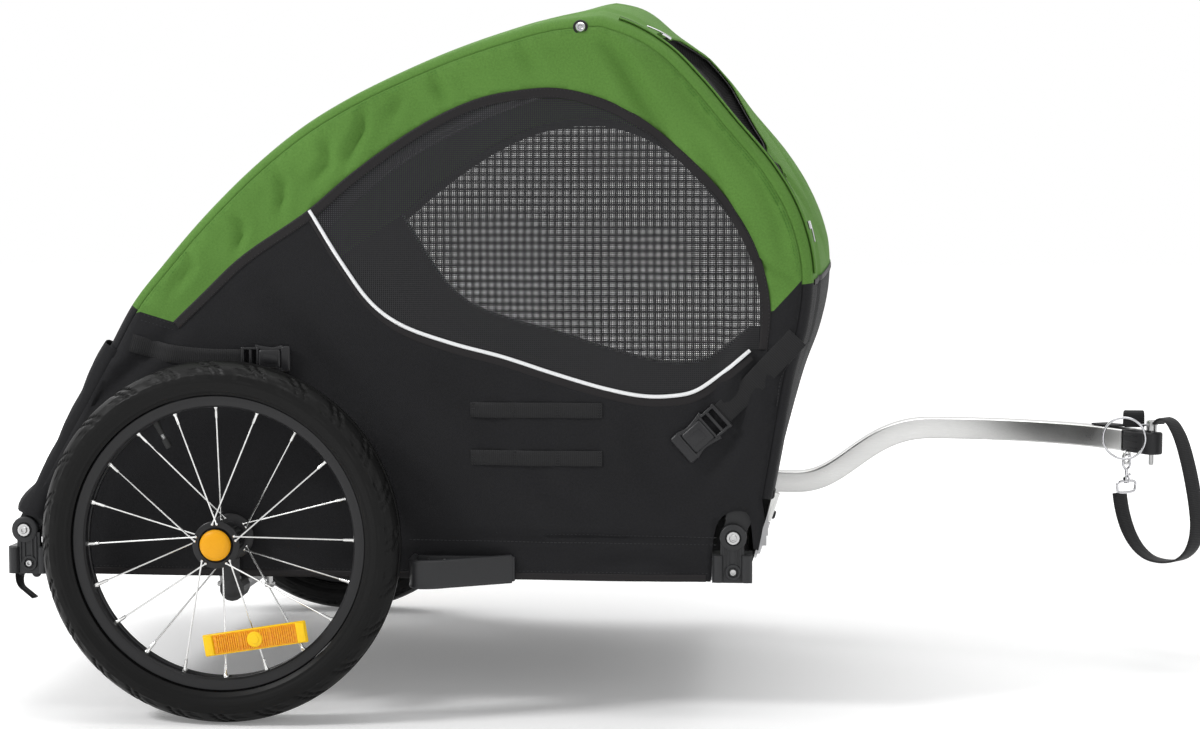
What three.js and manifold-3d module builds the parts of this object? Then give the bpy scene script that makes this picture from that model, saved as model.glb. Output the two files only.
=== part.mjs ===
// Folding two-wheel bicycle trailer with a fabric cabin, a side-mounted tow bar and a safety strap.
// Millimetres. +X is forward (towards the hitch), +Y is the trailer's left, +Z is up.
// While the pieces are made, X = 0 is the wheel axle line and Z = 0 the ground.
import * as THREE from 'three';
import { mergeVertices } from 'three/addons/utils/BufferGeometryUtils.js';
import Module from 'manifold-3d';

const wasm = await Module();
wasm.setup();

// ---- driving dimensions -------------------------------------------------------------------
const gap = 0.4;                    // clearance left between pieces that touch

const wheelRadius = 199.5;          // 16 x 1.75 tyre
const tyreWidth = 46;
const rimOuterRadius = 162;
const rimInnerRadius = 149;
const wheelPlaneY = 340;            // tyre mid-plane
const hubInnerY = 297.5;
const hubOuterY = 362;
const hubSleeveRadius = 15.5;
const hubBoreRadius = 12.2;
const flangeRadius = 26;
const spokeCount = 20;
const spokeRadius = 1.3;
const axleRadius = 6;
const axleInnerY = 252;
const buttonRadius = 17;

const sideOuterY = 290;             // outer face of the side fabric
const clothThickness = 3;
const railY = 271;
const railZ = 165;
const railRadius = 12.7;
const frontPivotX = 559;
const rearPivotX = -239;
const pivotZ = 203;
const frontBarX = 564;
const rearBarX = -241;
const axleBarZ = 140;
const axleBarRadius = 10;
const floorZ = 171;

const hoopRadius = 11;
const hoopBore = 9.4;
const rearHoopY = 270;
const frontHoopY = 243;
const knuckleInnerY = 258;
const earInnerY = 283.6;
const frontLean = THREE.MathUtils.degToRad(16);
const rearLean = THREE.MathUtils.degToRad(29);
const pivotBoltRadius = 4;

const towBarSize = 28;
const towBarY = 266;
const towBaseX = 594;
const towBaseZ = 198;
const towTopZ = 273;
const towBendStartX = 640;
const towBendEndX = 820;
const towArcRadius = 272;
const towArcAngle = THREE.MathUtils.degToRad(62);
const hingeLean = THREE.MathUtils.degToRad(18);
const hingeX = 594;                 // where the hinge axis crosses hingeZ
const hingeZ = 144;
const hingePinRadius = 4;

const hitchPinRadius = 3.2;
const hitchPinReach = 42;           // from the bar's end to the hitch pin
const couplerLength = 54;
const bailRadius = 22;
const strapWidth = 25;
const strapThickness = 3;
const strapTurn = THREE.MathUtils.degToRad(-42);

const originX = 417.7;              // middle of the object's length without the strap

// ---- materials ----------------------------------------------------------------------------
function finish(color, roughness, metalness) {
  return new THREE.MeshStandardMaterial({ color, roughness, metalness });
}
const aluminium = finish(0xb9bcc0, 0.35, 0.9);
const blackMetal = finish(0x1b1c1e, 0.45, 0.3);
const steel = finish(0xc9cbce, 0.25, 1.0);
const plastic = finish(0x232427, 0.6, 0.0);
const rubber = finish(0x17181a, 0.85, 0.0);
const amber = finish(0xf2a007, 0.35, 0.0);
const greenCloth = finish(0x3f7f1f, 0.8, 0.0);
const blackCloth = finish(0x1c1d20, 0.85, 0.0);
const webbing = finish(0x141416, 0.9, 0.0);

// ---- geometry helpers ---------------------------------------------------------------------
const model = new THREE.Group();

function signedVolume(geometry) {
  const position = geometry.getAttribute('position');
  const index = geometry.getIndex();
  const a = new THREE.Vector3();
  const b = new THREE.Vector3();
  const c = new THREE.Vector3();
  let volume = 0;
  for (let i = 0; i < index.count; i += 3) {
    a.fromBufferAttribute(position, index.getX(i));
    b.fromBufferAttribute(position, index.getX(i + 1));
    c.fromBufferAttribute(position, index.getX(i + 2));
    volume += a.dot(b.cross(c)) / 6;
  }
  return volume;
}

// A position-only mesh with shared vertices and its faces pointing out.
function closed(geometry) {
  const bare = geometry.clone();
  bare.deleteAttribute('normal');
  bare.deleteAttribute('uv');
  const merged = mergeVertices(bare, 1e-3);
  if (signedVolume(merged) < 0) {
    const index = merged.getIndex();
    for (let i = 0; i < index.count; i += 3) {
      const first = index.getX(i);
      index.setX(i, index.getX(i + 1));
      index.setX(i + 1, first);
    }
  }
  return merged;
}

function toManifold(geometry) {
  const mesh = closed(geometry);
  return new wasm.Manifold(new wasm.Mesh({
    numProp: 3,
    vertProperties: Float32Array.from(mesh.getAttribute('position').array),
    triVerts: Uint32Array.from(mesh.getIndex().array),
  }));
}

function fromManifold(manifold) {
  const mesh = manifold.getMesh();
  const geometry = new THREE.BufferGeometry();
  geometry.setAttribute('position', new THREE.BufferAttribute(mesh.vertProperties, 3));
  geometry.setIndex(new THREE.BufferAttribute(mesh.triVerts, 1));
  return geometry;
}

// Joins the first list of shapes and cuts the second list out of them.
function build(joined, cuts = []) {
  let result = toManifold(joined[0]);
  for (const shape of joined.slice(1)) {
    result = result.add(toManifold(shape));
  }
  for (const shape of cuts) {
    result = result.subtract(toManifold(shape));
  }
  return fromManifold(result);
}

function add(name, geometry, material) {
  const mesh = new THREE.Mesh(closed(geometry), material);
  mesh.name = name;
  model.add(mesh);
  return mesh;
}

function rodX(x0, x1, y, z, radius, sides = 16) {
  const rod = new THREE.CylinderGeometry(radius, radius, x1 - x0, sides);
  return rod.rotateZ(Math.PI / 2).translate((x0 + x1) / 2, y, z);
}

function rodY(x, z, radius, y0, y1, sides = 16) {
  const length = Math.abs(y1 - y0);
  return new THREE.CylinderGeometry(radius, radius, length, sides).translate(x, (y0 + y1) / 2, z);
}

function rodZ(x, y, radius, z0, z1, sides = 16) {
  const rod = new THREE.CylinderGeometry(radius, radius, z1 - z0, sides);
  return rod.rotateX(Math.PI / 2).translate(x, y, (z0 + z1) / 2);
}

// A rod between two points.
function rod(from, to, radius, sides = 8) {
  const axis = new THREE.Vector3().subVectors(to, from);
  const geometry = new THREE.CylinderGeometry(radius, radius, axis.length(), sides);
  const turn = new THREE.Quaternion().setFromUnitVectors(new THREE.Vector3(0, 1, 0), axis.normalize());
  geometry.applyQuaternion(turn);
  return geometry.translate((from.x + to.x) / 2, (from.y + to.y) / 2, (from.z + to.z) / 2);
}

// A box between two limits on each axis; y limits may come in either order.
function block(x0, x1, y0, y1, z0, z1) {
  const box = new THREE.BoxGeometry(x1 - x0, Math.abs(y1 - y0), z1 - z0);
  return box.translate((x0 + x1) / 2, (y0 + y1) / 2, (z0 + z1) / 2);
}

// A box whose long side leans forward in XZ, measured from a point along that lean.
function leaningBlock(x, z, lean, from, to, halfWidth, y0, y1) {
  const box = new THREE.BoxGeometry(2 * halfWidth, Math.abs(y1 - y0), to - from);
  box.translate(0, (y0 + y1) / 2, (from + to) / 2);
  return box.rotateY(lean).translate(x, 0, z);
}

// A rod along the same lean.
function leaningRod(x, z, lean, from, to, radius, y, sides = 16) {
  const geometry = new THREE.CylinderGeometry(radius, radius, to - from, sides).rotateX(Math.PI / 2);
  return geometry.translate(0, y, (from + to) / 2).rotateY(lean).translate(x, 0, z);
}

// A flat outline drawn in X and Z, given thickness along Y.
function plateXZ(shape, y0, y1, curveSegments = 6) {
  const low = Math.min(y0, y1);
  const high = Math.max(y0, y1);
  const plate = new THREE.ExtrudeGeometry(shape, { depth: high - low, bevelEnabled: false, curveSegments });
  return plate.rotateX(Math.PI / 2).translate(0, high, 0);
}

// A ring of revolution about the Y axis through (0, axle height), from a closed (radius, y) outline.
function turned(outline, segments) {
  const points = outline.map(([radius, y]) => new THREE.Vector2(radius, y));
  points.push(points[0].clone());
  return new THREE.LatheGeometry(points, segments).translate(0, 0, wheelRadius);
}

function ringShape(outerRadius, innerRadius, outerSides, innerSides) {
  const corners = (radius, sides) => Array.from({ length: sides }, (_, i) => {
    const angle = (2 * Math.PI * i) / sides;
    return new THREE.Vector2(radius * Math.cos(angle), radius * Math.sin(angle));
  });
  const shape = new THREE.Shape(corners(outerRadius, outerSides));
  shape.holes.push(new THREE.Path(corners(innerRadius, innerSides)));
  return shape;
}

// A straight tube along X or Y, open at both ends.
function straightTube(axis, from, to, radius, bore, sides = 12) {
  const shape = ringShape(radius, bore, sides, 8);
  const tube = new THREE.ExtrudeGeometry(shape, { depth: to - from, bevelEnabled: false });
  return axis === 'x' ? tube.rotateY(Math.PI / 2).translate(from, 0, 0)
    : tube.rotateX(-Math.PI / 2).translate(0, from, 0);
}

// A thin curved panel: `place(u, v, depth)` gives the point at depth millimetres under its face.
function panel(uSteps, vSteps, thickness, place) {
  const geometry = new THREE.BoxGeometry(1, 1, 1, uSteps, vSteps, 1);
  const position = geometry.getAttribute('position');
  for (let i = 0; i < position.count; i += 1) {
    const depth = position.getZ(i) > 0 ? 0 : thickness;
    const point = place(position.getX(i) + 0.5, position.getY(i) + 0.5, depth);
    position.setXYZ(i, point.x, point.y, point.z);
  }
  return geometry;
}

// ---- the cabin's outline seen from the side -------------------------------------------------
const roofLine = new THREE.CatmullRomCurve3([
  [-143, 405], [-112, 460], [-77, 503], [-31, 555], [26, 610], [82, 654], [138, 687], [194, 713],
  [249, 735], [304, 753], [358, 767], [413, 772],
].map(([x, z]) => new THREE.Vector3(x, 0, z)), false, 'centripetal');

const frontLine = new THREE.CatmullRomCurve3([
  [413, 772], [450, 759], [485, 738], [521, 702], [556, 660], [597, 611], [624, 566], [639, 520],
  [643, 480], [638, 435], [625, 385], [607, 280], [601, 245],
].map(([x, z]) => new THREE.Vector3(x, 0, z)), false, 'centripetal');

const roofCrown = (u) => 32 * u * u;
const frontCrown = (u) => (u < 0.55 ? 32 : 32 - 62 * (u - 0.55));

// The point of a line at u, moved inwards by depth.
function inset(line, u, depth) {
  const point = line.getPointAt(u);
  const tangent = line.getTangentAt(u);
  return new THREE.Vector3(point.x + tangent.z * depth, 0, point.z - tangent.x * depth);
}

function crownedPanel(line, crown, uSteps, from, to) {
  return panel(uSteps, 6, clothThickness, (along, across, depth) => {
    const u = from + (to - from) * along;
    const side = 2 * across - 1;
    const point = inset(line, u, depth - crown(u) * (1 - side * side));
    point.y = side * sideOuterY;
    return point;
  });
}

// ---- frame tubes and corner brackets ----------------------------------------------------------
const sides = [{ side: 'right', s: -1 }, { side: 'left', s: 1 }];

for (const { side, s } of sides) {
  const rail = straightTube('x', rearBarX + 29, frontBarX - 15, railRadius, railRadius - 2);
  add(`side_rail_${side}`, rail.translate(0, s * railY, railZ), aluminium);
}
const barHalf = knuckleInnerY + 20;
const crossTube = () => straightTube('y', -barHalf, barHalf, railRadius, railRadius - 2);
add('front_crossbar', crossTube().translate(frontBarX, 0, railZ), aluminium);
add('rear_crossbar', crossTube().translate(rearBarX, 0, railZ), aluminium);

// One moulded corner: a socket block for the rail and the crossbar, and an ear for the hoop pivot.
function cornerBracket(s, barX, pivotX, railSide, blockX0, blockX1) {
  const railMouth = railSide > 0 ? [barX + 14, blockX1 + 1] : [blockX0 - 1, barX - 14];
  const neckX = (blockX0 + blockX1) / 2;
  return build([
    block(blockX0, blockX1, s * knuckleInnerY, s * sideOuterY, 153, 184),
    block(neckX - 13, neckX + 13, s * earInnerY, s * sideOuterY, 183, 200),
    rodY(pivotX, pivotZ, 15, s * earInnerY, s * sideOuterY, 16),
  ], [
    rodX(railMouth[0], railMouth[1], s * railY, railZ, railRadius + gap, 12),
    rodY(barX, railZ, railRadius + gap, s * (knuckleInnerY - 1), s * (barHalf + gap), 12),
    rodY(pivotX, pivotZ, pivotBoltRadius + gap, s * 270, s * 300, 8),
  ]);
}

// A hoop's end fitting: a disc on the pivot with a socket that holds the leg.
function knuckle(s, pivotX, lean, legY) {
  const outerY = earInnerY - gap;
  const socketInnerY = legY - hoopRadius - 4;
  return build([
    rodY(pivotX, pivotZ, 14, s * knuckleInnerY, s * outerY, 14),
    leaningBlock(pivotX, pivotZ, lean, 0, 24, 13, s * knuckleInnerY, s * outerY),
    leaningBlock(pivotX, pivotZ, lean, 16.5, 46, 14, s * socketInnerY, s * outerY),
  ], [
    leaningRod(pivotX, pivotZ, lean, 20, 60, hoopRadius + 0.7, s * legY, 12),
    rodY(pivotX, pivotZ, pivotBoltRadius + 0.6, s * 220, s * 300, 8),
  ]);
}

for (const { side, s } of sides) {
  const front = cornerBracket(s, frontBarX, frontPivotX, -1, 536, 580);
  const rear = cornerBracket(s, rearBarX, rearPivotX, 1, -258, -212);
  add(`corner_bracket_front_${side}`, front, plastic);
  add(`corner_bracket_rear_${side}`, rear, plastic);
  add(`hoop_knuckle_front_${side}`, knuckle(s, frontPivotX, frontLean, frontHoopY), plastic);
  add(`hoop_knuckle_rear_${side}`, knuckle(s, rearPivotX, rearLean, rearHoopY), plastic);
  for (const [end, pivotX] of [['front', frontPivotX], ['rear', rearPivotX]]) {
    add(`pivot_bolt_${end}_${side}`, build([
      rodY(pivotX, pivotZ, pivotBoltRadius, s * (knuckleInnerY + 4), s * (sideOuterY + 1), 8),
      rodY(pivotX, pivotZ, 7, s * (sideOuterY + gap), s * (sideOuterY + 4), 12),
    ]), steel);
  }
}

// ---- folding hoops ----------------------------------------------------------------------------
// A bent tube: a leg on each side, drawn as points in X and Z, and an arched bar across the top.
function hoop(legPoints, legY, cornerRadius, crossX, crossZ, arch) {
  const leg = legPoints.map(([x, z]) => new THREE.Vector3(x, legY, z));
  const corner = [0.3, 0.65].map((t) => {
    const angle = (t * Math.PI) / 2;
    const last = leg[leg.length - 1];
    const x = last.x + (crossX - last.x) * Math.sin(angle);
    const z = last.z + (crossZ - last.z) * Math.sin(angle);
    return new THREE.Vector3(x, legY - cornerRadius * (1 - Math.cos(angle)), z);
  });
  const halfBar = legY - cornerRadius;
  const bar = [1, 0.55].map((t) => {
    return new THREE.Vector3(crossX, halfBar * t, crossZ + arch * (1 - t * t));
  });
  const half = [...leg, ...corner, ...bar];
  const top = new THREE.Vector3(crossX, 0, crossZ + arch);
  const other = half.map((point) => new THREE.Vector3(point.x, -point.y, point.z)).reverse();
  const path = new THREE.CatmullRomCurve3([...half, top, ...other], false, 'centripetal');
  const section = ringShape(hoopRadius, hoopBore, 8, 4);
  return new THREE.ExtrudeGeometry(section, { steps: 38, bevelEnabled: false, extrudePath: path });
}

const legStart = 22;
const alongLean = (x, lean, distance) => {
  return [x + distance * Math.sin(lean), pivotZ + distance * Math.cos(lean)];
};
add('rear_hoop', hoop([
  alongLean(rearPivotX, rearLean, legStart), alongLean(rearPivotX, rearLean, 120), [-128, 399],
  [-97, 450], [-65, 491], [-22, 544], [34, 597], [88, 640], [143, 672], [198, 698], [253, 720],
  [308, 737], [345, 745], [380, 750],
], rearHoopY, 60, 440, 752, 21), aluminium);
add('front_hoop', hoop([
  alongLean(frontPivotX, frontLean, legStart), alongLean(frontPivotX, frontLean, 120), [610, 388],
  [624, 436], [628, 478], [622, 520], [606, 560], [583, 600], [545, 645],
], frontHoopY, 60, 486, 702, 22), aluminium);

// ---- axle crossbar, axle receivers, wheel guards, floor ------------------------------------------
add('axle_crossbar',
  straightTube('y', -288, 288, axleBarRadius, axleBarRadius - 2).translate(0, 0, axleBarZ), aluminium);

const receiverInnerY = sideOuterY + gap;
const receiverOuterY = hubInnerY - 1;
for (const { side, s } of sides) {
  add(`axle_receiver_${side}`, build([
    block(-9, 9, s * receiverInnerY, s * receiverOuterY, axleBarZ, wheelRadius),
    rodY(0, axleBarZ, 14, s * 270, s * receiverOuterY, 14),
    rodY(0, wheelRadius, 15, s * receiverInnerY, s * receiverOuterY, 14),
    rodY(0, wheelRadius, 13, s * (axleInnerY - 5), s * (receiverInnerY + 1), 14),
  ], [
    rodY(0, axleBarZ, axleBarRadius + gap, s * 260, s * (288 + gap), 12),
    rodY(0, wheelRadius, axleRadius + 0.5, s * (axleInnerY - 1), s * 300, 12),
    block(-20, 20, s * 250, s * 289.9, railZ - railRadius - gap, wheelRadius - 14),
  ]), plastic);
}

// The guard's outline seen from above: it leaves the rail, bows out round the tyre and comes back.
for (const { side, s } of sides) {
  const bow = new THREE.CatmullRomCurve3([
    new THREE.Vector3(314, s * 293, 0), new THREE.Vector3(290, s * 306, 0), new THREE.Vector3(255, s * 325, 0),
    new THREE.Vector3(232, s * 337, 0), new THREE.Vector3(216, s * 338, 0), new THREE.Vector3(209, s * 328, 0),
    new THREE.Vector3(207, s * 310, 0), new THREE.Vector3(207, s * 293, 0),
  ], false, 'centripetal');
  const band = new THREE.Shape([
    new THREE.Vector2(-16, -2.4), new THREE.Vector2(16, -2.4),
    new THREE.Vector2(16, 2.4), new THREE.Vector2(-16, 2.4),
  ]);
  const guard = new THREE.ExtrudeGeometry(band, { steps: 24, bevelEnabled: false, extrudePath: bow });
  add(`wheel_guard_${side}`, build([
    guard.translate(0, 0, 166),
    block(206, 318, s * (sideOuterY + gap), s * (sideOuterY + 4), 152, 180),
  ]), plastic);
}
add('floor_panel', block(rearBarX + 14, frontBarX - 14, -255.5, 255.5, floorZ - 3, floorZ + 3), blackCloth);

// ---- wheels -----------------------------------------------------------------------------------
const valveLean = new THREE.Vector3(-0.477, 0, 0.879);

function spokeSet(s) {
  const pieces = [
    turned([[146, s * 338], [147.8, s * 338], [147.8, s * 342], [146, s * 342]], 20),
  ];
  for (let i = 0; i < spokeCount; i += 1) {
    const outer = i % 2 === 0;
    const rimAngle = (2 * Math.PI * (i + 0.08)) / spokeCount;
    const lead = (i % 4 < 2 ? 1 : -1) * 0.42;
    const hubAngle = rimAngle + lead;
    const hubRadius = outer ? 23 : 21.5;
    const hubY = s * (outer ? 363.8 : 303.5);
    pieces.push(rod(
      new THREE.Vector3(hubRadius * Math.cos(hubAngle), hubY, wheelRadius + hubRadius * Math.sin(hubAngle)),
      new THREE.Vector3(146.8 * Math.cos(rimAngle), s * wheelPlaneY, wheelRadius + 146.8 * Math.sin(rimAngle)),
      spokeRadius, 3,
    ));
  }
  const valveHole = rod(
    new THREE.Vector3(140 * valveLean.x, s * wheelPlaneY, wheelRadius + 140 * valveLean.z),
    new THREE.Vector3(160 * valveLean.x, s * wheelPlaneY, wheelRadius + 160 * valveLean.z), 4.4, 6,
  );
  return build(pieces, [valveHole]);
}

for (const { side, s } of sides) {
  const y = (offset) => s * (wheelPlaneY + offset);
  const bead = rimOuterRadius + 1;
  add(`tyre_${side}`, turned([
    [bead, y(-11)], [bead, y(-17)], [180, y(-tyreWidth / 2)], [193, y(-17)], [wheelRadius, y(-5)],
    [wheelRadius, y(5)], [193, y(17)], [180, y(tyreWidth / 2)], [bead, y(17)], [bead, y(11)],
    [180, y(18.5)], [193, y(8)], [193, y(-8)], [180, y(-18.5)],
  ], 32), rubber);
  const tubeRing = Array.from({ length: 6 }, (_, i) => {
    const angle = (2 * Math.PI * i) / 6;
    return [179.5 + 11 * Math.cos(angle), y(11 * Math.sin(angle))];
  });
  const atRadius = (radius) => {
    return valveLean.clone().multiplyScalar(radius).add(new THREE.Vector3(0, y(0), wheelRadius));
  };
  const valve = (inner, outer, radius) => rod(atRadius(inner), atRadius(outer), radius, 8);
  add(`inner_tube_${side}`, build([turned(tubeRing, 20), valve(118, 174, 3.2), valve(116, 130, 4)]), rubber);
  add(`rim_${side}`, build([turned([
    [rimInnerRadius, y(-9)], [rimInnerRadius, y(9)], [154, y(13)], [rimOuterRadius, y(13)],
    [rimOuterRadius, y(10)], [155, y(7)], [155, y(-7)], [rimOuterRadius, y(-10)],
    [rimOuterRadius, y(-13)], [154, y(-13)],
  ], 32)], [valve(140, 162, 4.2)]), blackMetal);
  add(`spoke_set_${side}`, spokeSet(s), steel);
  add(`hub_shell_${side}`, turned([
    [hubBoreRadius, s * 305], [hubBoreRadius, s * (hubInnerY + 1)],
    [flangeRadius, s * (hubInnerY + 1)], [flangeRadius, s * 301.5],
    [hubSleeveRadius, s * 301.5], [hubSleeveRadius, s * 355],
    [flangeRadius, s * 359], [flangeRadius, s * hubOuterY],
    [hubSleeveRadius + 3, s * hubOuterY], [hubSleeveRadius + 3, s * 358.5],
    [hubBoreRadius, s * 358.5], [hubBoreRadius, s * 346], [9, s * 346], [9, s * 305],
  ], 18), blackMetal);
  for (const [place, from, to] of [['inner', 298.6, 304.6], ['outer', 346.4, 352.4]]) {
    add(`bearing_${place}_${side}`, turned([
      [axleRadius + 0.4, s * from], [11.8, s * from], [11.8, s * to], [axleRadius + 0.4, s * to],
    ], 16), steel);
  }
  add(`axle_${side}`, turned([
    [3.2, s * axleInnerY], [axleRadius, s * axleInnerY], [axleRadius, s * 353], [9, s * 353],
    [9, s * 356], [3.2, s * 356],
  ], 16), steel);
  add(`release_button_${side}`, build([
    rodY(0, wheelRadius, buttonRadius, s * 363, s * 368, 20),
    rodY(0, wheelRadius, buttonRadius - 4, s * 367, s * 370, 20),
    rodY(0, wheelRadius, 2.7, s * 300, s * 364, 8),
  ]), amber);
}

// A flat reflector clipped to the spokes, with a boss in its middle and a hooked clip behind.
for (const { side, s } of sides) {
  const reflector = build([
    new THREE.BoxGeometry(116, 7, 25).translate(0, s * 364.5, 0),
    rodY(0, 0, 9, s * 362, s * 370, 16),
  ]);
  add(`reflector_${side}`, reflector.rotateY(-0.16).translate(43, 0, 98), amber);
}

// ---- tow bar and its hinge ----------------------------------------------------------------------
const hinge = (from, to, halfWidth, y0, y1) => {
  return leaningBlock(hingeX, hingeZ, hingeLean, from, to, halfWidth, y0, y1);
};
const hingeRod = (from, to, radius, count = 16) => {
  return leaningRod(hingeX, hingeZ, hingeLean, from, to, radius, towBarY, count);
};
// The fixed half: a leaning knuckle carried by an arm that is bolted under the front crossbar.
add('tow_bracket', build([
  hinge(-46, -1, 5.5, towBarY - 22, towBarY + 22),
  hingeRod(-46, -1, 10, 16),
  block(556, 600, 226, 242, 128, 150.5),
  block(577.5, 600, 226, 242, 134, 178),
  block(578, 598, 241, 256, 112, 140),
], [
  hingeRod(-60, 10, hingePinRadius + gap, 12),
  rodY(frontBarX, railZ, railRadius + gap, 200, 262, 12),
]), aluminium);
add('tow_hinge_pin', build([
  hingeRod(-50, 26, hingePinRadius, 12),
  hingeRod(-53, -46.5, 7, 12),
]), steel);
// The lock's pull knob stands on the moving leaf, square to the lean, with its stem in the leaf.
const lockY = towBarY + 15;
const lockAlong = 9;
function lockRod(from, to, radius, count) {
  const geometry = new THREE.CylinderGeometry(radius, radius, to - from, count).rotateZ(-Math.PI / 2);
  geometry.translate((from + to) / 2, lockY, lockAlong);
  return geometry.rotateY(hingeLean).translate(hingeX, 0, hingeZ);
}
add('tow_lock_knob', build([lockRod(-4.5, 7, 2.5, 10), lockRod(6, 14, 6, 14)]), plastic);

const towPath = new THREE.CurvePath();
const at = (x, y, z) => new THREE.Vector3(x, y, z);
towPath.add(new THREE.LineCurve3(at(towBaseX, towBarY, towBaseZ), at(towBendStartX, towBarY, towBaseZ)));
towPath.add(new THREE.CubicBezierCurve3(
  at(towBendStartX, towBarY, towBaseZ), at(705, towBarY, towBaseZ),
  at(730, towBarY, towTopZ), at(towBendEndX, towBarY, towTopZ),
));
const arcPoint = (angle) => at(
  towBendEndX + towArcRadius * Math.sin(angle),
  towBarY - towArcRadius * (1 - Math.cos(angle)),
  towTopZ,
);
const arcSteps = 8;
towPath.add(new THREE.CatmullRomCurve3(
  Array.from({ length: arcSteps + 1 }, (_, i) => arcPoint((towArcAngle * i) / arcSteps)),
));
// A square tube's section.
function squareTube(size, wall) {
  const h = size / 2;
  const corners = (reach) => {
    return [[1, -1], [1, 1], [-1, 1], [-1, -1]].map(([x, y]) => new THREE.Vector2(x * reach, y * reach));
  };
  const shape = new THREE.Shape(corners(h));
  shape.holes.push(new THREE.Path(corners(h - wall)));
  return shape;
}
const towTube = new THREE.ExtrudeGeometry(squareTube(towBarSize, 2.5), {
  steps: 34, bevelEnabled: false, extrudePath: towPath,
});
add('tow_bar', build([
  towTube,
  hinge(1, 42, 5.5, towBarY - 10, towBarY + 22),
  hingeRod(1, 42, 10, 16),
], [
  hingeRod(0, 30, hingePinRadius + 0.6, 12),
  lockRod(-8, 8, 3.1, 10),
]), aluminium);

// ---- hitch: flexible coupler, pin, retaining bail -----------------------------------------------
const barEnd = arcPoint(towArcAngle);
const forward = at(Math.cos(towArcAngle), -Math.sin(towArcAngle), 0);
const outward = at(-Math.sin(towArcAngle), -Math.cos(towArcAngle), 0);
const fromEnd = (along, across, z) => at(
  barEnd.x + forward.x * along + outward.x * across,
  barEnd.y + forward.y * along + outward.y * across,
  z,
);
function hitchBlock(from, to, halfWidth, z0, z1, across = 0) {
  const box = new THREE.BoxGeometry(to - from, 2 * halfWidth, z1 - z0);
  box.translate((from + to) / 2, -across, (z0 + z1) / 2);
  return box.rotateZ(-towArcAngle).translate(barEnd.x, barEnd.y, 0);
}
const pinPlace = fromEnd(hitchPinReach, 0, 0);
const eyePlace = fromEnd(9, 11.8, 246);
const eyeZ = 252;

// The strap's eye is a small plate with a hole, hanging under the coupler's near edge.
const eyePlate = build([
  block(-1.5, 1.5, -9, 9, eyeZ - 9, 262),
], [rodX(-5, 5, 0, eyeZ, 5.6, 12)]).rotateZ(strapTurn).translate(eyePlace.x, eyePlace.y, 0);
add('flex_coupler', build([
  hitchBlock(1.2, couplerLength - 13, 13.5, towTopZ - 14, towTopZ + 13.5),
  rodZ(pinPlace.x, pinPlace.y, 13.5, towTopZ - 14, towTopZ + 13.5, 24),
  hitchBlock(-9, 2, 10.4, towTopZ - 10.5, towTopZ + 10.5),
  eyePlate,
], [
  rodZ(pinPlace.x, pinPlace.y, hitchPinRadius + gap, 200, 320),
]), rubber);

const pinHeadZ = 296;
const bailHalf = 17.5;
const bailAxis = (from, to, radius, count) => rod(
  fromEnd(hitchPinReach, from, pinHeadZ), fromEnd(hitchPinReach, to, pinHeadZ), radius, count,
);
add('hitch_pin', build([
  rodZ(pinPlace.x, pinPlace.y, hitchPinRadius, 245, pinHeadZ + 4, 16),
  rodZ(pinPlace.x, pinPlace.y, 6.5, towTopZ + 14.4, pinHeadZ + 6, 16),
], [bailAxis(-20, 20, 2, 10)]), steel);

// The bail is a wire ring beside the coupler, with a straight end through the pin's head.
const bailRing = new THREE.TorusGeometry(bailRadius, 1.5, 6, 22);
bailRing.rotateX(Math.PI / 2).translate(-bailRadius * 0.75, 0, -bailRadius * 0.66);
bailRing.rotateZ(-towArcAngle);
const bailSeat = fromEnd(hitchPinReach, bailHalf, pinHeadZ);
bailRing.translate(bailSeat.x, bailSeat.y, bailSeat.z);
add('pin_bail', build([bailRing, bailAxis(-9, bailHalf, 1.5, 8)]), steel);

// ---- safety strap and its snap hook --------------------------------------------------------------
// Route of the strap in its own upright plane: distance from the hitch pin, and height.
const strapRoute = [
  [9, 298], [17, 305], [27, 302], [36, 291], [43, 277], [52, 250], [59, 222], [64, 196], [66, 176],
  [64, 158], [57, 142], [45, 131], [30, 126], [14, 125], [-1, 128], [-16, 138], [-29, 155], [-38, 176],
  [-43, 196], [-44.5, 206],
];
const strapPath = new THREE.CatmullRomCurve3(
  strapRoute.map(([u, z]) => at(u, 0, z)), false, 'centripetal',
);
const strapSection = new THREE.Shape([
  [strapWidth / 2, -0.75], [strapWidth / 2, 0.75], [11, 1.5], [-11, 1.5], [-strapWidth / 2, 0.75],
  [-strapWidth / 2, -0.75], [-11, -1.5], [11, -1.5],
].map(([x, y]) => new THREE.Vector2(x, (y * strapThickness) / 3)));
const strap = new THREE.ExtrudeGeometry(strapSection, {
  steps: 34, bevelEnabled: false, extrudePath: strapPath,
});
add('safety_strap', strap.rotateZ(strapTurn).translate(pinPlace.x, pinPlace.y, 0), webbing);

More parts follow.
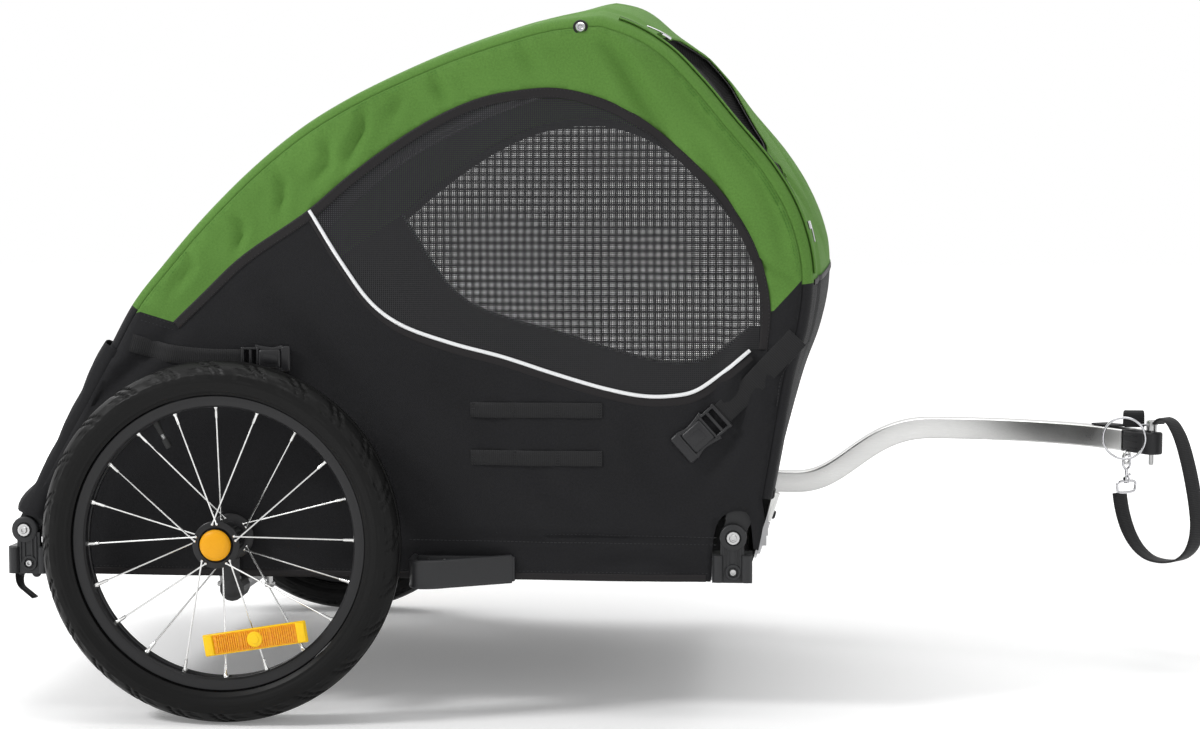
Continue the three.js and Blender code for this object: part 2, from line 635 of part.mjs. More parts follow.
// The hook hangs from the eye: a rectangular strap loop, a swivel and a closed oval hook.
const hookU = -44.5;
const ovalHook = new THREE.Shape().absellipse(hookU, 246, 7.5, 10.5, 0, 2 * Math.PI);
ovalHook.holes.push(new THREE.Path().absellipse(hookU, 246, 4.8, 7.8, 0, 2 * Math.PI, true));
const hookPlace = new THREE.Vector3(pinPlace.x - eyePlace.x, pinPlace.y - eyePlace.y, 0);
const eyeU = -(hookPlace.x * Math.cos(strapTurn) + hookPlace.y * Math.sin(strapTurn));
const hookShift = eyeU - hookU;
add('snap_hook', build([
  plateXZ(ovalHook, -1.4, 1.4, 8),
  rodZ(hookU, 0, 2.4, 222, 237, 10),
  rodZ(hookU, 0, 4.6, 219, 229, 14),
  rodY(hookU, 219, 1.6, -16, 16, 8),
  rodY(hookU, 208.5, 1.6, -16, 16, 8),
  rodZ(hookU, -15, 1.6, 208.5, 219, 8),
  rodZ(hookU, 15, 1.6, 208.5, 219, 8),
]).translate(hookShift, 0, 0).rotateZ(strapTurn).translate(pinPlace.x, pinPlace.y, 0), steel);

// ---- fabric cabin ------------------------------------------------------------------------------
add('cover_top', crownedPanel(roofLine, roofCrown, 18, 0.004, 0.9985), greenCloth);
add('cover_front', crownedPanel(frontLine, frontCrown, 20, 0.0015, 1), greenCloth);

const edgePoints = (line, from, to, count) => Array.from({ length: count + 1 }, (_, i) => {
  const point = inset(line, from + ((to - from) * i) / count, clothThickness + 1.4);
  return new THREE.Vector2(point.x, point.z);
});
const sideOutline = new THREE.Shape([
  new THREE.Vector2(-208, 154), new THREE.Vector2(531, 154), new THREE.Vector2(532, 214),
  new THREE.Vector2(541, 231), new THREE.Vector2(556, 240), new THREE.Vector2(590, 244),
  ...edgePoints(frontLine, 0.99, 0.01, 26), ...edgePoints(roofLine, 0.99, 0.01, 24),
  new THREE.Vector2(-226, 236), new THREE.Vector2(-208, 226),
]);
sideOutline.holes.push(new THREE.Path().absarc(0, wheelRadius, 16, 0, 2 * Math.PI, true));
for (const { side, s } of sides) {
  const face = plateXZ(sideOutline, s * (sideOuterY - clothThickness), s * sideOuterY, 8);
  add(`cover_side_${side}`, face, blackCloth);
}

// The tailgate fills the space between the rear hoop's legs and turns on its bottom edge.
const tailgateBottom = at(-251.5, 0, 182);
const tailgateTop = at(-144.6, 0, 402);
add('tailgate', panel(1, 1, clothThickness, (along, across, depth) => {
  const point = new THREE.Vector3().lerpVectors(tailgateBottom, tailgateTop, along);
  const inward = at(0.9, 0, -0.437);
  point.addScaledVector(inward, depth);
  point.y = (2 * across - 1) * 254;
  return point;
}), blackCloth);

for (const { side, s } of sides) {
  add(`buckle_rear_${side}`, build([
    block(26, 68, s * (sideOuterY + gap), s * (sideOuterY + 11), 384, 412),
    block(14, 28, s * (sideOuterY + 1.5), s * (sideOuterY + 9), 387, 409),
  ]), plastic);
}

model.children.forEach((mesh) => mesh.position.set(-originX, 0, 0));

export default model;
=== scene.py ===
import math

import bmesh
import bpy
import numpy as np
from mathutils import Matrix, Vector
from mathutils.geometry import delaunay_2d_cdt


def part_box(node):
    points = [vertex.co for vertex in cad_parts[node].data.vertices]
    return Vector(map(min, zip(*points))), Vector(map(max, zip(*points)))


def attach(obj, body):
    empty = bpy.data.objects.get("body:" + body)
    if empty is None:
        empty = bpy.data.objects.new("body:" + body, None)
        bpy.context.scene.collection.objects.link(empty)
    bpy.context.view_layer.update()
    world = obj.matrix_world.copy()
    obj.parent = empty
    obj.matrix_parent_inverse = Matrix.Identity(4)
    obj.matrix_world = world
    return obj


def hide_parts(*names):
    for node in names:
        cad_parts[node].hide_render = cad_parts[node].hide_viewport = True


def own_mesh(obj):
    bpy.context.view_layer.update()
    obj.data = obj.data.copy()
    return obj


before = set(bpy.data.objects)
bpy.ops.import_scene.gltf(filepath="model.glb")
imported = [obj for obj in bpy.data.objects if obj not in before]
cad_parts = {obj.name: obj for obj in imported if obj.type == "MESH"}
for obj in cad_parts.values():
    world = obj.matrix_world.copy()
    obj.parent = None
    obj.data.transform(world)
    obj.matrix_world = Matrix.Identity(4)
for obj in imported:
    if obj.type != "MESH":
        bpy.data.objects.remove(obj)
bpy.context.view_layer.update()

# Shapes are drawn in millimetres with X = 0 at the wheel axle, and moved to the frame when they
# become objects.
MM = 0.001
axle_low, axle_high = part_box("axle_right")
AXLE_X = (axle_low.x + axle_high.x) / 2 / MM
SIDES = (("right", -1), ("left", 1))
PIVOT_Z = 203
PIVOT_X = {"front": 559, "rear": -239}
AXLE_Z = 199.5
WHEEL_Y = 340
SIDE_Y = 290


# ---- camera -------------------------------------------------------------------------------------
def to_frame(x, y, z):
    return Vector(((x + AXLE_X) * MM, y * MM, z * MM))


camera_data = bpy.data.cameras.new("camera")
camera_data.sensor_width = 36
camera_data.lens = 60.52
camera = bpy.data.objects.new("camera", camera_data)
camera.location = to_frame(585.2, -2492.2, 538.7)
camera.rotation_euler = (math.radians(90 - 3.771), 0, math.radians(4.489))
bpy.context.scene.collection.objects.link(camera)
bpy.context.scene.camera = camera
bpy.context.scene.view_settings.view_transform = "Standard"


# ---- curves -------------------------------------------------------------------------------------
def catmull(points, steps=14):
    """Centripetal Catmull-Rom curve through the points, as a dense line."""
    points = np.asarray(points, float)
    ends = [2 * points[0] - points[1]], [2 * points[-1] - points[-2]]
    knots = np.vstack([ends[0], points, ends[1]])
    line = []
    for i in range(1, len(knots) - 2):
        p0, p1, p2, p3 = knots[i - 1:i + 3]
        t1 = np.linalg.norm(p1 - p0) ** 0.5
        t2 = t1 + np.linalg.norm(p2 - p1) ** 0.5
        t3 = t2 + np.linalg.norm(p3 - p2) ** 0.5
        t = np.linspace(t1, t2, steps, endpoint=False)[:, None]
        a1 = (t1 - t) / t1 * p0 + t / t1 * p1
        a2 = (t2 - t) / (t2 - t1) * p1 + (t - t1) / (t2 - t1) * p2
        a3 = (t3 - t) / (t3 - t2) * p2 + (t - t2) / (t3 - t2) * p3
        b1 = (t2 - t) / t2 * a1 + t / t2 * a2
        b2 = (t3 - t) / (t3 - t1) * a2 + (t - t1) / (t3 - t1) * a3
        line.extend((t2 - t) / (t2 - t1) * b1 + (t - t1) / (t2 - t1) * b2)
    line.append(points[-1])
    return np.array(line)


def lengths(line):
    return np.r_[0, np.cumsum(np.linalg.norm(np.diff(line, axis=0), axis=1))]


def resample(line, step):
    """The line again, in equal steps of about that many millimetres."""
    line = np.asarray(line, float)
    s = lengths(line)
    count = max(2, int(round(s[-1] / step)) + 1)
    q = np.linspace(0, s[-1], count)
    return np.stack([np.interp(q, s, line[:, k]) for k in range(line.shape[1])], 1)


def unit(vectors):
    return vectors / np.linalg.norm(vectors, axis=-1)[..., None]


def heading(path):
    """Unit direction of a path at each of its points."""
    return unit(np.gradient(path, axis=0))


def turns(count):
    """Equal angles round a whole turn."""
    return np.linspace(0, 2 * math.pi, count, False)


def smoothstep(x):
    x = np.clip(x, 0, 1)
    return x * x * (3 - 2 * x)


def distance_to(line, points):
    """Distance from each point to a 2-D line, and how far along the line its nearest point is (0 to 1)."""
    points = np.asarray(points, float)
    best = np.full(len(points), 1e9)
    where = np.zeros(len(points))
    s = lengths(line)
    for i in range(len(line) - 1):
        a, b = line[i], line[i + 1]
        ab = b - a
        t = np.clip(((points - a) @ ab) / (ab @ ab), 0, 1)
        d = np.linalg.norm(points - a - t[:, None] * ab, axis=1)
        closer = d < best
        best[closer] = d[closer]
        where[closer] = (s[i] + t[closer] * (s[i + 1] - s[i])) / s[-1]
    return best, where


def inside(polygon, points):
    points = np.asarray(points, float)
    x, z = points[:, 0], points[:, 1]
    result = np.zeros(len(points), bool)
    for (x0, z0), (x1, z1) in zip(polygon, np.roll(polygon, -1, axis=0)):
        crosses = (z0 > z) != (z1 > z)
        slope = np.where(z1 == z0, 1e-9, z1 - z0)
        result ^= crosses & (x < (x1 - x0) * (z - z0) / slope + x0)
    return result


# ---- parts of meshes: (points in mm, faces, uv in metres for each face's corners or None) ---------
def sweep(path, section, up, closed=False, caps=True):
    """A section of (across, up) points carried along a path. up is one direction or one for each point."""
    path = np.asarray(path, float)
    section = np.asarray(section, float)
    n, k = len(path), len(section)
    tangent = unit(np.roll(path, -1, axis=0) - np.roll(path, 1, axis=0)) if closed else heading(path)
    across = unit(np.cross(tangent, np.broadcast_to(np.asarray(up, float), path.shape)))
    up = np.cross(across, tangent)
    points = path[:, None] + across[:, None] * section[None, :, :1] + up[:, None] * section[None, :, 1:2]
    s = lengths(np.vstack([path, path[:1]]) if closed else path) * MM
    around = lengths(np.vstack([section, section[:1]])) * MM
    faces, uvs = [], []
    for i in range(n if closed else n - 1):
        i1 = (i + 1) % n
        for j in range(k):
            j1 = (j + 1) % k
            faces.append((i * k + j, i1 * k + j, i1 * k + j1, i * k + j1))
            uvs.append(((s[i], around[j]), (s[i + 1], around[j]), (s[i + 1], around[j + 1]), (s[i], around[j + 1])))
    if caps and not closed:
        for end in (tuple(range(k))[::-1], tuple(range((n - 1) * k, n * k))):
            faces.append(end)
            uvs.append([tuple(section[v % k] * MM) for v in end])
    return points.reshape(-1, 3), faces, uvs


def round_section(radius, sides=12):
    return np.stack([radius * np.cos(turns(sides)), radius * np.sin(turns(sides))], 1)


def diamond(reach):
    """The section of a sewing thread."""
    return [(reach, 0), (0, reach), (-reach, 0), (0, -reach)]


def flat_section(width, thickness):
    """The section of a strap: flat, with rounded selvedges."""
    w, t = width / 2, thickness / 2
    return np.array([(w, -t * 0.3), (w, t * 0.3), (w - t, t), (w / 3, t), (-w / 3, t), (t - w, t),
                     (-w, t * 0.3), (-w, -t * 0.3), (t - w, -t), (-w / 3, -t), (w / 3, -t), (w - t, -t)])


def rounded_square(size, radius, steps=4):
    points = []
    for quarter in range(4):
        centre = np.array([(1, 1), (-1, 1), (-1, -1), (1, -1)][quarter]) * (size / 2 - radius)
        for i in range(steps + 1):
            angle = (quarter + i / steps) * math.pi / 2
            points.append(centre + radius * np.array([math.cos(angle), math.sin(angle)]))
    return np.array(points)


def tube(path, radius, sides=12, up=(0, 0, 1), closed=False):
    return sweep(path, round_section(radius, sides), up, closed)


def turned(outline, origin, axis, segments=32, closed=False):
    """An outline of (radius, height along the axis) turned about that axis through origin."""
    axis = unit(np.asarray(axis, float))
    first = unit(np.cross(axis, (0, 0, 1) if abs(axis[2]) < 0.9 else (1, 0, 0)))
    second = np.cross(axis, first)
    outline = np.asarray(outline, float)
    k = len(outline)
    angle = turns(segments)
    spin = np.cos(angle)[:, None] * first + np.sin(angle)[:, None] * second
    points = np.asarray(origin, float) + outline[None, :, :1] * spin[:, None] + outline[None, :, 1:] * axis
    along = lengths(np.vstack([outline, outline[:1]])) * MM
    around = outline[:, 0].max() * MM * 2 * math.pi
    faces, uvs = [], []
    for i in range(segments):
        i1 = (i + 1) % segments
        a0, a1 = around * i / segments, around * (i + 1) / segments
        for j in range(k if closed else k - 1):
            j1 = (j + 1) % k
            faces.append((i * k + j, i1 * k + j, i1 * k + j1, i * k + j1))
            uvs.append(((a0, along[j]), (a1, along[j]), (a1, along[j + 1]), (a0, along[j + 1])))
    return points.reshape(-1, 3), faces, uvs


def turned_out(outline, x, z, s, segments=32, closed=False, y=0):
    """(radius, distance from the middle plane) points turned about an axis that runs out to side s."""
    return turned([(r, s * h) for r, h in outline], (x, y, z), (0, 1, 0), segments, closed)


def rod(start, end, radius, sides=12, bevel=0.4):
    start, end = np.asarray(start, float), np.asarray(end, float)
    h = np.linalg.norm(end - start)
    b = min(bevel, radius * 0.45, h * 0.3)
    return turned([(0, 0), (radius - b, 0), (radius, b), (radius, h - b), (radius - b, h), (0, h)],
                  start, end - start, sides)


def block(x0, x1, y0, y1, z0, z1, bevel=1.2, segments=2):
    """A box with rounded edges."""
    low = np.minimum((x0, y0, z0), (x1, y1, z1))
    size = np.abs(np.subtract((x1, y1, z1), (x0, y0, z0)))
    bm = bmesh.new()
    bmesh.ops.create_cube(bm, size=1)
    for v in bm.verts:
        v.co = Vector((v.co[i] + 0.5) * size[i] + low[i] for i in range(3))
    bmesh.ops.bevel(bm, geom=bm.edges[:], offset=min(bevel, size.min() * 0.45), segments=segments,
                    profile=0.5, affect="EDGES")
    points = np.array([v.co[:] for v in bm.verts])
    faces = [tuple(v.index for v in f.verts) for f in bm.faces]
    bm.free()
    return points, faces, None


def ball(centre, radius, segments=12):
    angle = np.linspace(-math.pi / 2, math.pi / 2, segments // 2 + 1)
    outline = np.stack([np.maximum(radius * np.cos(angle), 0), radius * np.sin(angle)], 1)
    return turned(outline, centre, (0, 0, 1), segments)


def moved(part, matrix):
    points, faces, uvs = part
    m = np.array(matrix, float)
    return points @ m[:3, :3].T + m[:3, 3], faces, uvs


def mirrored(part, s):
    """The part on side s: its Y counts away from the middle."""
    points, faces, uvs = part
    return points * (1, s, 1), faces, uvs


def grid(points, uv):
    n, m = points.shape[:2]
    index = np.arange(n * m).reshape(n, m)
    faces = np.stack([index[:-1, :-1], index[1:, :-1], index[1:, 1:], index[:-1, 1:]], -1).reshape(-1, 4)
    flat = uv.reshape(-1, 2)
    return points.reshape(-1, 3), [tuple(f) for f in faces], [[tuple(flat[v]) for v in f] for f in faces]


class Shape:
    """A mesh put together from parts, each with its own material."""

    def __init__(self, name):
        self.name = name
        self.points, self.faces, self.uvs, self.slots, self.materials = [], [], [], [], []
        self.count = 0

    def add(self, part, material):
        points, faces, uvs = part
        if material not in self.materials:
            self.materials.append(material)
        slot = self.materials.index(material)
        self.points.append(np.asarray(points, float))
        for i, face in enumerate(faces):
            self.faces.append(tuple(int(v) + self.count for v in face))
            self.uvs.append(uvs[i] if uvs is not None else [(points[v][0] * MM, points[v][2] * MM) for v in face])
            self.slots.append(slot)
        self.count += len(points)
        return self

    def done(self, sharp=38):
        points = (np.vstack(self.points) + (AXLE_X, 0, 0)) * MM
        mesh = bpy.data.meshes.new(self.name)
        mesh.from_pydata(points.tolist(), [], self.faces)
        layer = mesh.uv_layers.new(name="UVMap")
        layer.data.foreach_set("uv", [c for face in self.uvs for uv in face for c in uv])
        for material in self.materials:
            mesh.materials.append(material)
        mesh.polygons.foreach_set("material_index", self.slots)
        bm = bmesh.new()
        bm.from_mesh(mesh)
        bmesh.ops.remove_doubles(bm, verts=bm.verts[:], dist=1e-6)
        bmesh.ops.recalc_face_normals(bm, faces=bm.faces[:])
        bm.to_mesh(mesh)
        bm.free()
        mesh.polygons.foreach_set("use_smooth", [True] * len(mesh.polygons))
        mesh.set_sharp_from_angle(angle=math.radians(sharp))
        obj = bpy.data.objects.new(self.name, mesh)
        bpy.context.scene.collection.objects.link(obj)
        return obj


def piece(shape, body, slot, *nodes, sharp=38):
    """A finished rigid piece: rides on a body and may stand for CAD nodes; slot is not used."""
    obj = shape.done(sharp)
    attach(obj, body)
    if nodes:
        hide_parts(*nodes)
    return obj


SHEET_THICKNESS = 0.0012        # in metres


def crumples(obj):
    """Gives cloth of the cabin, and what is sewn to it, a mesh of its own."""
    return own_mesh(obj)


def sewn(shape, slot, *nodes, sharp=38):
    return crumples(piece(shape, "root", slot, *nodes, sharp=sharp))


def cloth_sheet(shape, body, slot, *nodes, sharp=60, thickness=SHEET_THICKNESS, offset=-1, **facts):
    """A stretched cloth of the cabin with its thickness; facts are not used."""
    obj = shape.done(sharp)
    solid = obj.modifiers.new("thickness", "SOLIDIFY")
    solid.thickness = thickness
    solid.offset = offset
    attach(obj, body)
    if nodes:
        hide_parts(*nodes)
    crumples(obj)


# ---- materials ----------------------------------------------------------------------------------
def node(tree, kind, inputs=None, **settings):
    item = tree.nodes.new(kind)
    for key, value in settings.items():
        setattr(item, key, value)
    for key, value in (inputs or {}).items():
        if isinstance(value, bpy.types.NodeSocket):
            tree.links.new(value, item.inputs[key])
        else:
            item.inputs[key].default_value = value
    return item


def math_node(tree, operation, a, b=0.0, clamp=False):
    return node(tree, "ShaderNodeMath", {0: a, 1: b}, operation=operation, use_clamp=clamp).outputs[0]


def material(name, colour, roughness, metallic=0.0, **sockets):
    mat = bpy.data.materials.new(name)
    mat.use_nodes = True
    shader = mat.node_tree.nodes["Principled BSDF"]
    shader.inputs["Base Color"].default_value = (*colour, 1)
    shader.inputs["Roughness"].default_value = roughness
    shader.inputs["Metallic"].default_value = metallic
    for key, value in sockets.items():
        shader.inputs[key.replace("_", " ")].default_value = value
    return mat, mat.node_tree, shader


def weighed(tree, a, share_a, b, share_b, clamp=False):
    """The sum of two values, each times its share."""
    return math_node(tree, "ADD", math_node(tree, "MULTIPLY", a, share_a),
                     math_node(tree, "MULTIPLY", b, share_b), clamp)


def paint(tree, shader, factor, dark, light):
    mixed = node(tree, "ShaderNodeMix", {0: factor, 6: (*dark, 1), 7: (*light, 1)}, data_type="RGBA")
    tree.links.new(mixed.outputs[2], shader.inputs["Base Color"])


def vary_roughness(tree, shader, value, low, high):
    rough = node(tree, "ShaderNodeMapRange", {0: value, 1: 0.3, 2: 0.7, 3: low, 4: high}).outputs[0]
    tree.links.new(rough, shader.inputs["Roughness"])


def noise(tree, vector, scale, detail=3.0, roughness=0.55):
    return node(tree, "ShaderNodeTexNoise", {"Vector": vector, "Scale": scale, "Detail": detail,
                                             "Roughness": roughness}).outputs["Fac"]


def bump(tree, shader, height, strength, distance):
    item = node(tree, "ShaderNodeBump", {"Height": height, "Strength": strength, "Distance": distance})
    tree.links.new(item.outputs["Normal"], shader.inputs["Normal"])


def uv_parts(tree):
    uv = node(tree, "ShaderNodeUVMap", uv_map="UVMap").outputs["UV"]
    split = node(tree, "ShaderNodeSeparateXYZ", {0: uv})
    return uv, split.outputs[0], split.outputs[1]


def object_place(tree):
    return node(tree, "ShaderNodeTexCoord").outputs["Object"]


def wave(tree, value, pitch):
    """A sine of that pitch in metres, from 0 to 1."""
    turn = math_node(tree, "MULTIPLY", value, 2 * math.pi / pitch)
    return node(tree, "ShaderNodeMath", {0: math_node(tree, "SINE", turn), 1: 0.5, 2: 0.5},
                operation="MULTIPLY_ADD").outputs[0]


def cloth(name, dark, light, roughness, pitch=0.0011, sheen=0.04):
    """Plain-woven coated cloth: fine weave, fibre noise and slow changes of colour."""
    mat, tree, shader = material(name, light, roughness, Sheen_Weight=sheen, Sheen_Roughness=0.4,
                                 Specular_IOR_Level=0.14)
    uv, u, v = uv_parts(tree)
    warp, weft = wave(tree, u, pitch), wave(tree, v, pitch)
    gaps = [math_node(tree, "SUBTRACT", 1.0, threads) for threads in (warp, weft)]
    weave = math_node(tree, "ADD", math_node(tree, "MULTIPLY", warp, weft), math_node(tree, "MULTIPLY", *gaps))
    slow = noise(tree, uv, 9.0, 4.0)
    fine = noise(tree, uv, 420.0, 4.0, 0.8)
    changes = weighed(tree, slow, 0.45, math_node(tree, "SUBTRACT", fine, 0.3), 1.1)
    paint(tree, shader, math_node(tree, "ADD", math_node(tree, "MULTIPLY", weave, 0.2), changes, True), dark, light)
    bump(tree, shader, math_node(tree, "ADD", weave, math_node(tree, "MULTIPLY", fine, 0.6)), 0.6, 0.00035)
    return mat


def ribbed(name, dark, light, roughness, pitch, relief):
    """Woven tape with ribs across its length."""
    mat, tree, shader = material(name, light, roughness, Sheen_Weight=0.03, Specular_IOR_Level=0.22)
    uv, u, _ = uv_parts(tree)
    mixed = weighed(tree, wave(tree, u, pitch), 0.6, noise(tree, uv, 700.0, 2.0), 0.4)
    paint(tree, shader, mixed, dark, light)
    bump(tree, shader, mixed, 0.7, relief)
    return mat


def grained(name, dark, light, roughness, scale=900.0, relief=0.00008, **sockets):
    """Moulded plastic, rubber or cast metal: fine grain with slight changes of colour and gloss."""
    sockets.setdefault("Specular_IOR_Level", 0.3)
    mat, tree, shader = material(name, light, roughness, **sockets)
    place = object_place(tree)
    fine = noise(tree, place, scale, 3.0)
    slow = noise(tree, place, 14.0, 4.0)
    paint(tree, shader, weighed(tree, slow, 0.6, fine, 0.4), dark, light)
    vary_roughness(tree, shader, slow, roughness * 0.85, min(1.0, roughness * 1.2))
    bump(tree, shader, fine, 0.5, relief)
    return mat


def brushed(name, colour, roughness, stretch, relief=0.00003):
    """Metal with fine straight scratches; stretch squeezes the grain on each axis of the object."""
    mat, tree, shader = material(name, colour, roughness, 1.0)
    place = object_place(tree)
    drawn = node(tree, "ShaderNodeMapping", {"Vector": place, "Scale": stretch}).outputs[0]
    grain = noise(tree, drawn, 120.0, 4.0, 0.7)
    slow = noise(tree, place, 20.0, 3.0)
    paint(tree, shader, grain, [c * 0.82 for c in colour], [min(1, c * 1.08) for c in colour])
    vary_roughness(tree, shader, weighed(tree, grain, 0.6, slow, 0.4), roughness * 0.75, roughness * 1.3)
    bump(tree, shader, grain, 0.35, relief)
    return mat


def open_mesh(name, pitch, open_share, colour):
    """See-through window mesh: square holes between black threads."""
    mat, tree, shader = material(name, colour, 0.6, Specular_IOR_Level=0.3)
    uv, u, v = uv_parts(tree)
    edges = []
    for value in (u, v):
        cell = math_node(tree, "FRACT", math_node(tree, "MULTIPLY", value, 1 / pitch))
        off = math_node(tree, "ABSOLUTE", math_node(tree, "SUBTRACT", cell, 0.5))
        edges.append(math_node(tree, "GREATER_THAN", off, math.sqrt(open_share) / 2))
    tree.links.new(math_node(tree, "MAXIMUM", *edges), shader.inputs["Alpha"])
    paint(tree, shader, noise(tree, uv, 400.0, 2.0), colour, [c * 2.2 for c in colour])
    return mat


def lens_plastic(name, dark, light):
    """Amber reflector plastic with fine square prisms behind its face."""
    mat, tree, shader = material(name, light, 0.25, Coat_Weight=0.25, Coat_Roughness=0.1, Specular_IOR_Level=0.3)
    place = object_place(tree)
    cells = node(tree, "ShaderNodeTexVoronoi", {"Vector": place, "Scale": 380.0}).outputs["Distance"]
    paint(tree, shader, weighed(tree, cells, 0.8, noise(tree, place, 60.0, 3.0), 0.5, True), light, dark)
    bump(tree, shader, cells, 0.5, 0.0003)
    return mat


GREEN = cloth("green_coated_cloth", (0.050, 0.124, 0.018), (0.128, 0.278, 0.056), 0.66, sheen=0.0)
BLACK = cloth("black_coated_cloth", (0.004, 0.004, 0.0045), (0.018, 0.018, 0.020), 0.66)
PAD = cloth("floor_pad_cloth", (0.008, 0.008, 0.009), (0.026, 0.026, 0.028), 0.75, pitch=0.0016)
BINDING = ribbed("black_binding_tape", (0.004, 0.0035, 0.004), (0.013, 0.011, 0.012), 0.5, 0.0009, 0.00015)
WEBBING = ribbed("black_webbing", (0.004, 0.004, 0.0045), (0.015, 0.015, 0.016), 0.6, 0.0022, 0.0005)
WINDOW = open_mesh("window_mesh", 0.0022, 0.26, (0.010, 0.010, 0.011))
INNER_MESH = ribbed("door_lining", (0.003, 0.003, 0.003), (0.012, 0.012, 0.012), 0.8, 0.0022, 0.0006)
PIPING = ribbed("reflective_piping", (0.72, 0.73, 0.74), (0.92, 0.93, 0.94), 0.35, 0.0014, 0.0002)
THREAD_GREEN = grained("green_thread", (0.03, 0.11, 0.012), (0.07, 0.21, 0.03), 0.7)
THREAD_BLACK = grained("black_thread", (0.012, 0.012, 0.013), (0.035, 0.035, 0.037), 0.6)
BUCKLE = grained("buckle_plastic", (0.010, 0.010, 0.011), (0.024, 0.024, 0.026), 0.32, 600.0, 0.00005)
BRACKET = grained("bracket_nylon", (0.012, 0.012, 0.013), (0.034, 0.035, 0.037), 0.42, 1100.0, 0.00010)
TYRE = grained("tyre_rubber", (0.002, 0.002, 0.002), (0.007, 0.007, 0.007), 0.42, 700.0, 0.00010,
               Specular_IOR_Level=0.15)
RIM = grained("rim_satin_black", (0.008, 0.008, 0.009), (0.018, 0.018, 0.019), 0.38, 500.0, 0.00003)
HUB = grained("hub_satin_black", (0.006, 0.006, 0.007), (0.016, 0.016, 0.017), 0.35, 500.0, 0.00003)
BUTYL = grained("inner_tube_butyl", (0.010, 0.010, 0.010), (0.026, 0.026, 0.026), 0.6)
ELASTOMER = grained("coupler_elastomer", (0.010, 0.010, 0.011), (0.026, 0.026, 0.028), 0.5, 800.0, 0.0001)
SPOKE = brushed("spoke_steel", (0.78, 0.78, 0.77), 0.22, (1, 1, 1))
STEEL = brushed("zinc_steel", (0.52, 0.52, 0.52), 0.30, (1, 4, 1))
CHROME = brushed("chrome", (0.58, 0.58, 0.60), 0.12, (1, 1, 1), 0.00001)
TUBE_METAL = brushed("anodised_tube", (0.46, 0.46, 0.47), 0.36, (1, 1, 6))
BAR_METAL = brushed("brushed_aluminium", (0.70, 0.70, 0.69), 0.34, (0.6, 6, 6))
AMBER = grained("amber_plastic", (0.74, 0.30, 0.001), (0.86, 0.41, 0.002), 0.45, 500.0, 0.00003)
REFLECTOR = lens_plastic("amber_reflector", (0.80, 0.26, 0.001), (0.94, 0.50, 0.004))
REFLECTOR_EDGE = grained("amber_frame", (0.95, 0.52, 0.004), (1.0, 0.70, 0.010), 0.3, 400.0, 0.00002)


def repaint(material_, *names):
    """A carried-over CAD node gets a finish; its shape stays as it is."""
    for name in names:
        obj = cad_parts[name]
        obj.data.materials.clear()
        obj.data.materials.append(material_)
        obj.data.polygons.foreach_set("use_smooth", [True] * len(obj.data.polygons))
        obj.data.set_sharp_from_angle(angle=math.radians(32))


def soften(width, *names):
    """Rounds a CAD node's edges a little."""
    for name in names:
        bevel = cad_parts[name].modifiers.new("edges", "BEVEL")
        bevel.width = width * MM
        bevel.segments = 2
        bevel.limit_method = "ANGLE"
        bevel.angle_limit = math.radians(40)
        bevel.harden_normals = True


# ---- hitch: bar end, coupler, pin, bail, and the safety strap --------------------------------------
TOW_Y = 266
TOW_Z = 273
BEND_END_X = 820
ARC_RADIUS = 272
ARC_ANGLE = math.radians(62)
PIN_REACH = 42
STRAP_TURN = math.radians(-42)  # of the plane that the strap's loop lies in
STRAP_FACE = math.radians(36)   # of the webbing's width where it hangs upright


def arc_point(angle):
    return np.array([BEND_END_X + ARC_RADIUS * math.sin(angle),
                     TOW_Y - ARC_RADIUS * (1 - math.cos(angle)), TOW_Z])


BAR_END = arc_point(ARC_ANGLE)
FORWARD = np.array([math.cos(ARC_ANGLE), -math.sin(ARC_ANGLE), 0])
OUTWARD = np.array([-math.sin(ARC_ANGLE), -math.cos(ARC_ANGLE), 0])


def from_end(along, across, z):
    point = BAR_END + FORWARD * along + OUTWARD * across
    return np.array([point[0], point[1], z])


PIN = from_end(PIN_REACH, 0, 0)
EYE = from_end(9, 11.8, 252)


def strap_plane(u, z, off=0.0):
    """A point of the upright plane that the strap hangs in; u is measured from the hitch pin."""
    c, s = math.cos(STRAP_TURN), math.sin(STRAP_TURN)
    return np.array([PIN[0] + u * c - off * s, PIN[1] + u * s + off * c, z])


STRAP_ROUTE = [
    (9, 298), (17, 305), (27, 302), (36, 291), (43, 277), (52, 250), (59, 222), (64, 196), (66, 176),
    (64, 158), (57, 142), (45, 131), (30, 126), (14, 125), (-1, 128), (-16, 138), (-29, 155), (-38, 176),
    (-43, 196), (-44.5, 206),
]
strap_line = resample(catmull(STRAP_ROUTE), 4)
strap_path = np.array([strap_plane(u, z) for u, z in strap_line])
strap_heading = heading(strap_path)
# The webbing turns about its own line: across the loop where it runs level, towards the side where upright.
strap_turns = math.pi / 2 + STRAP_TURN - (math.pi / 2 + STRAP_TURN - STRAP_FACE) * strap_heading[:, 2] ** 2
strap_across = np.stack([np.cos(strap_turns), np.sin(strap_turns), 0 * strap_turns], 1)
strap_up = np.cross(strap_heading, strap_across)
strap_shape = Shape("strap_webbing").add(sweep(strap_path, flat_section(25, 2.6), strap_up), WEBBING)
strap = piece(strap_shape, "tow_bar", "webbing", "safety_strap")

# The snap hook hangs from the eye under the coupler: gate hook, swivel and rectangular strap loop.
HOOK_U = (EYE[0] - PIN[0]) * math.cos(STRAP_TURN) + (EYE[1] - PIN[1]) * math.sin(STRAP_TURN)
HOOK_FOOT = strap_plane(HOOK_U, 0)
HOOK_WIDE = np.array([math.cos(STRAP_FACE), math.sin(STRAP_FACE), 0])
HOOK_DEEP = np.array([math.sin(STRAP_FACE), -math.cos(STRAP_FACE), 0])


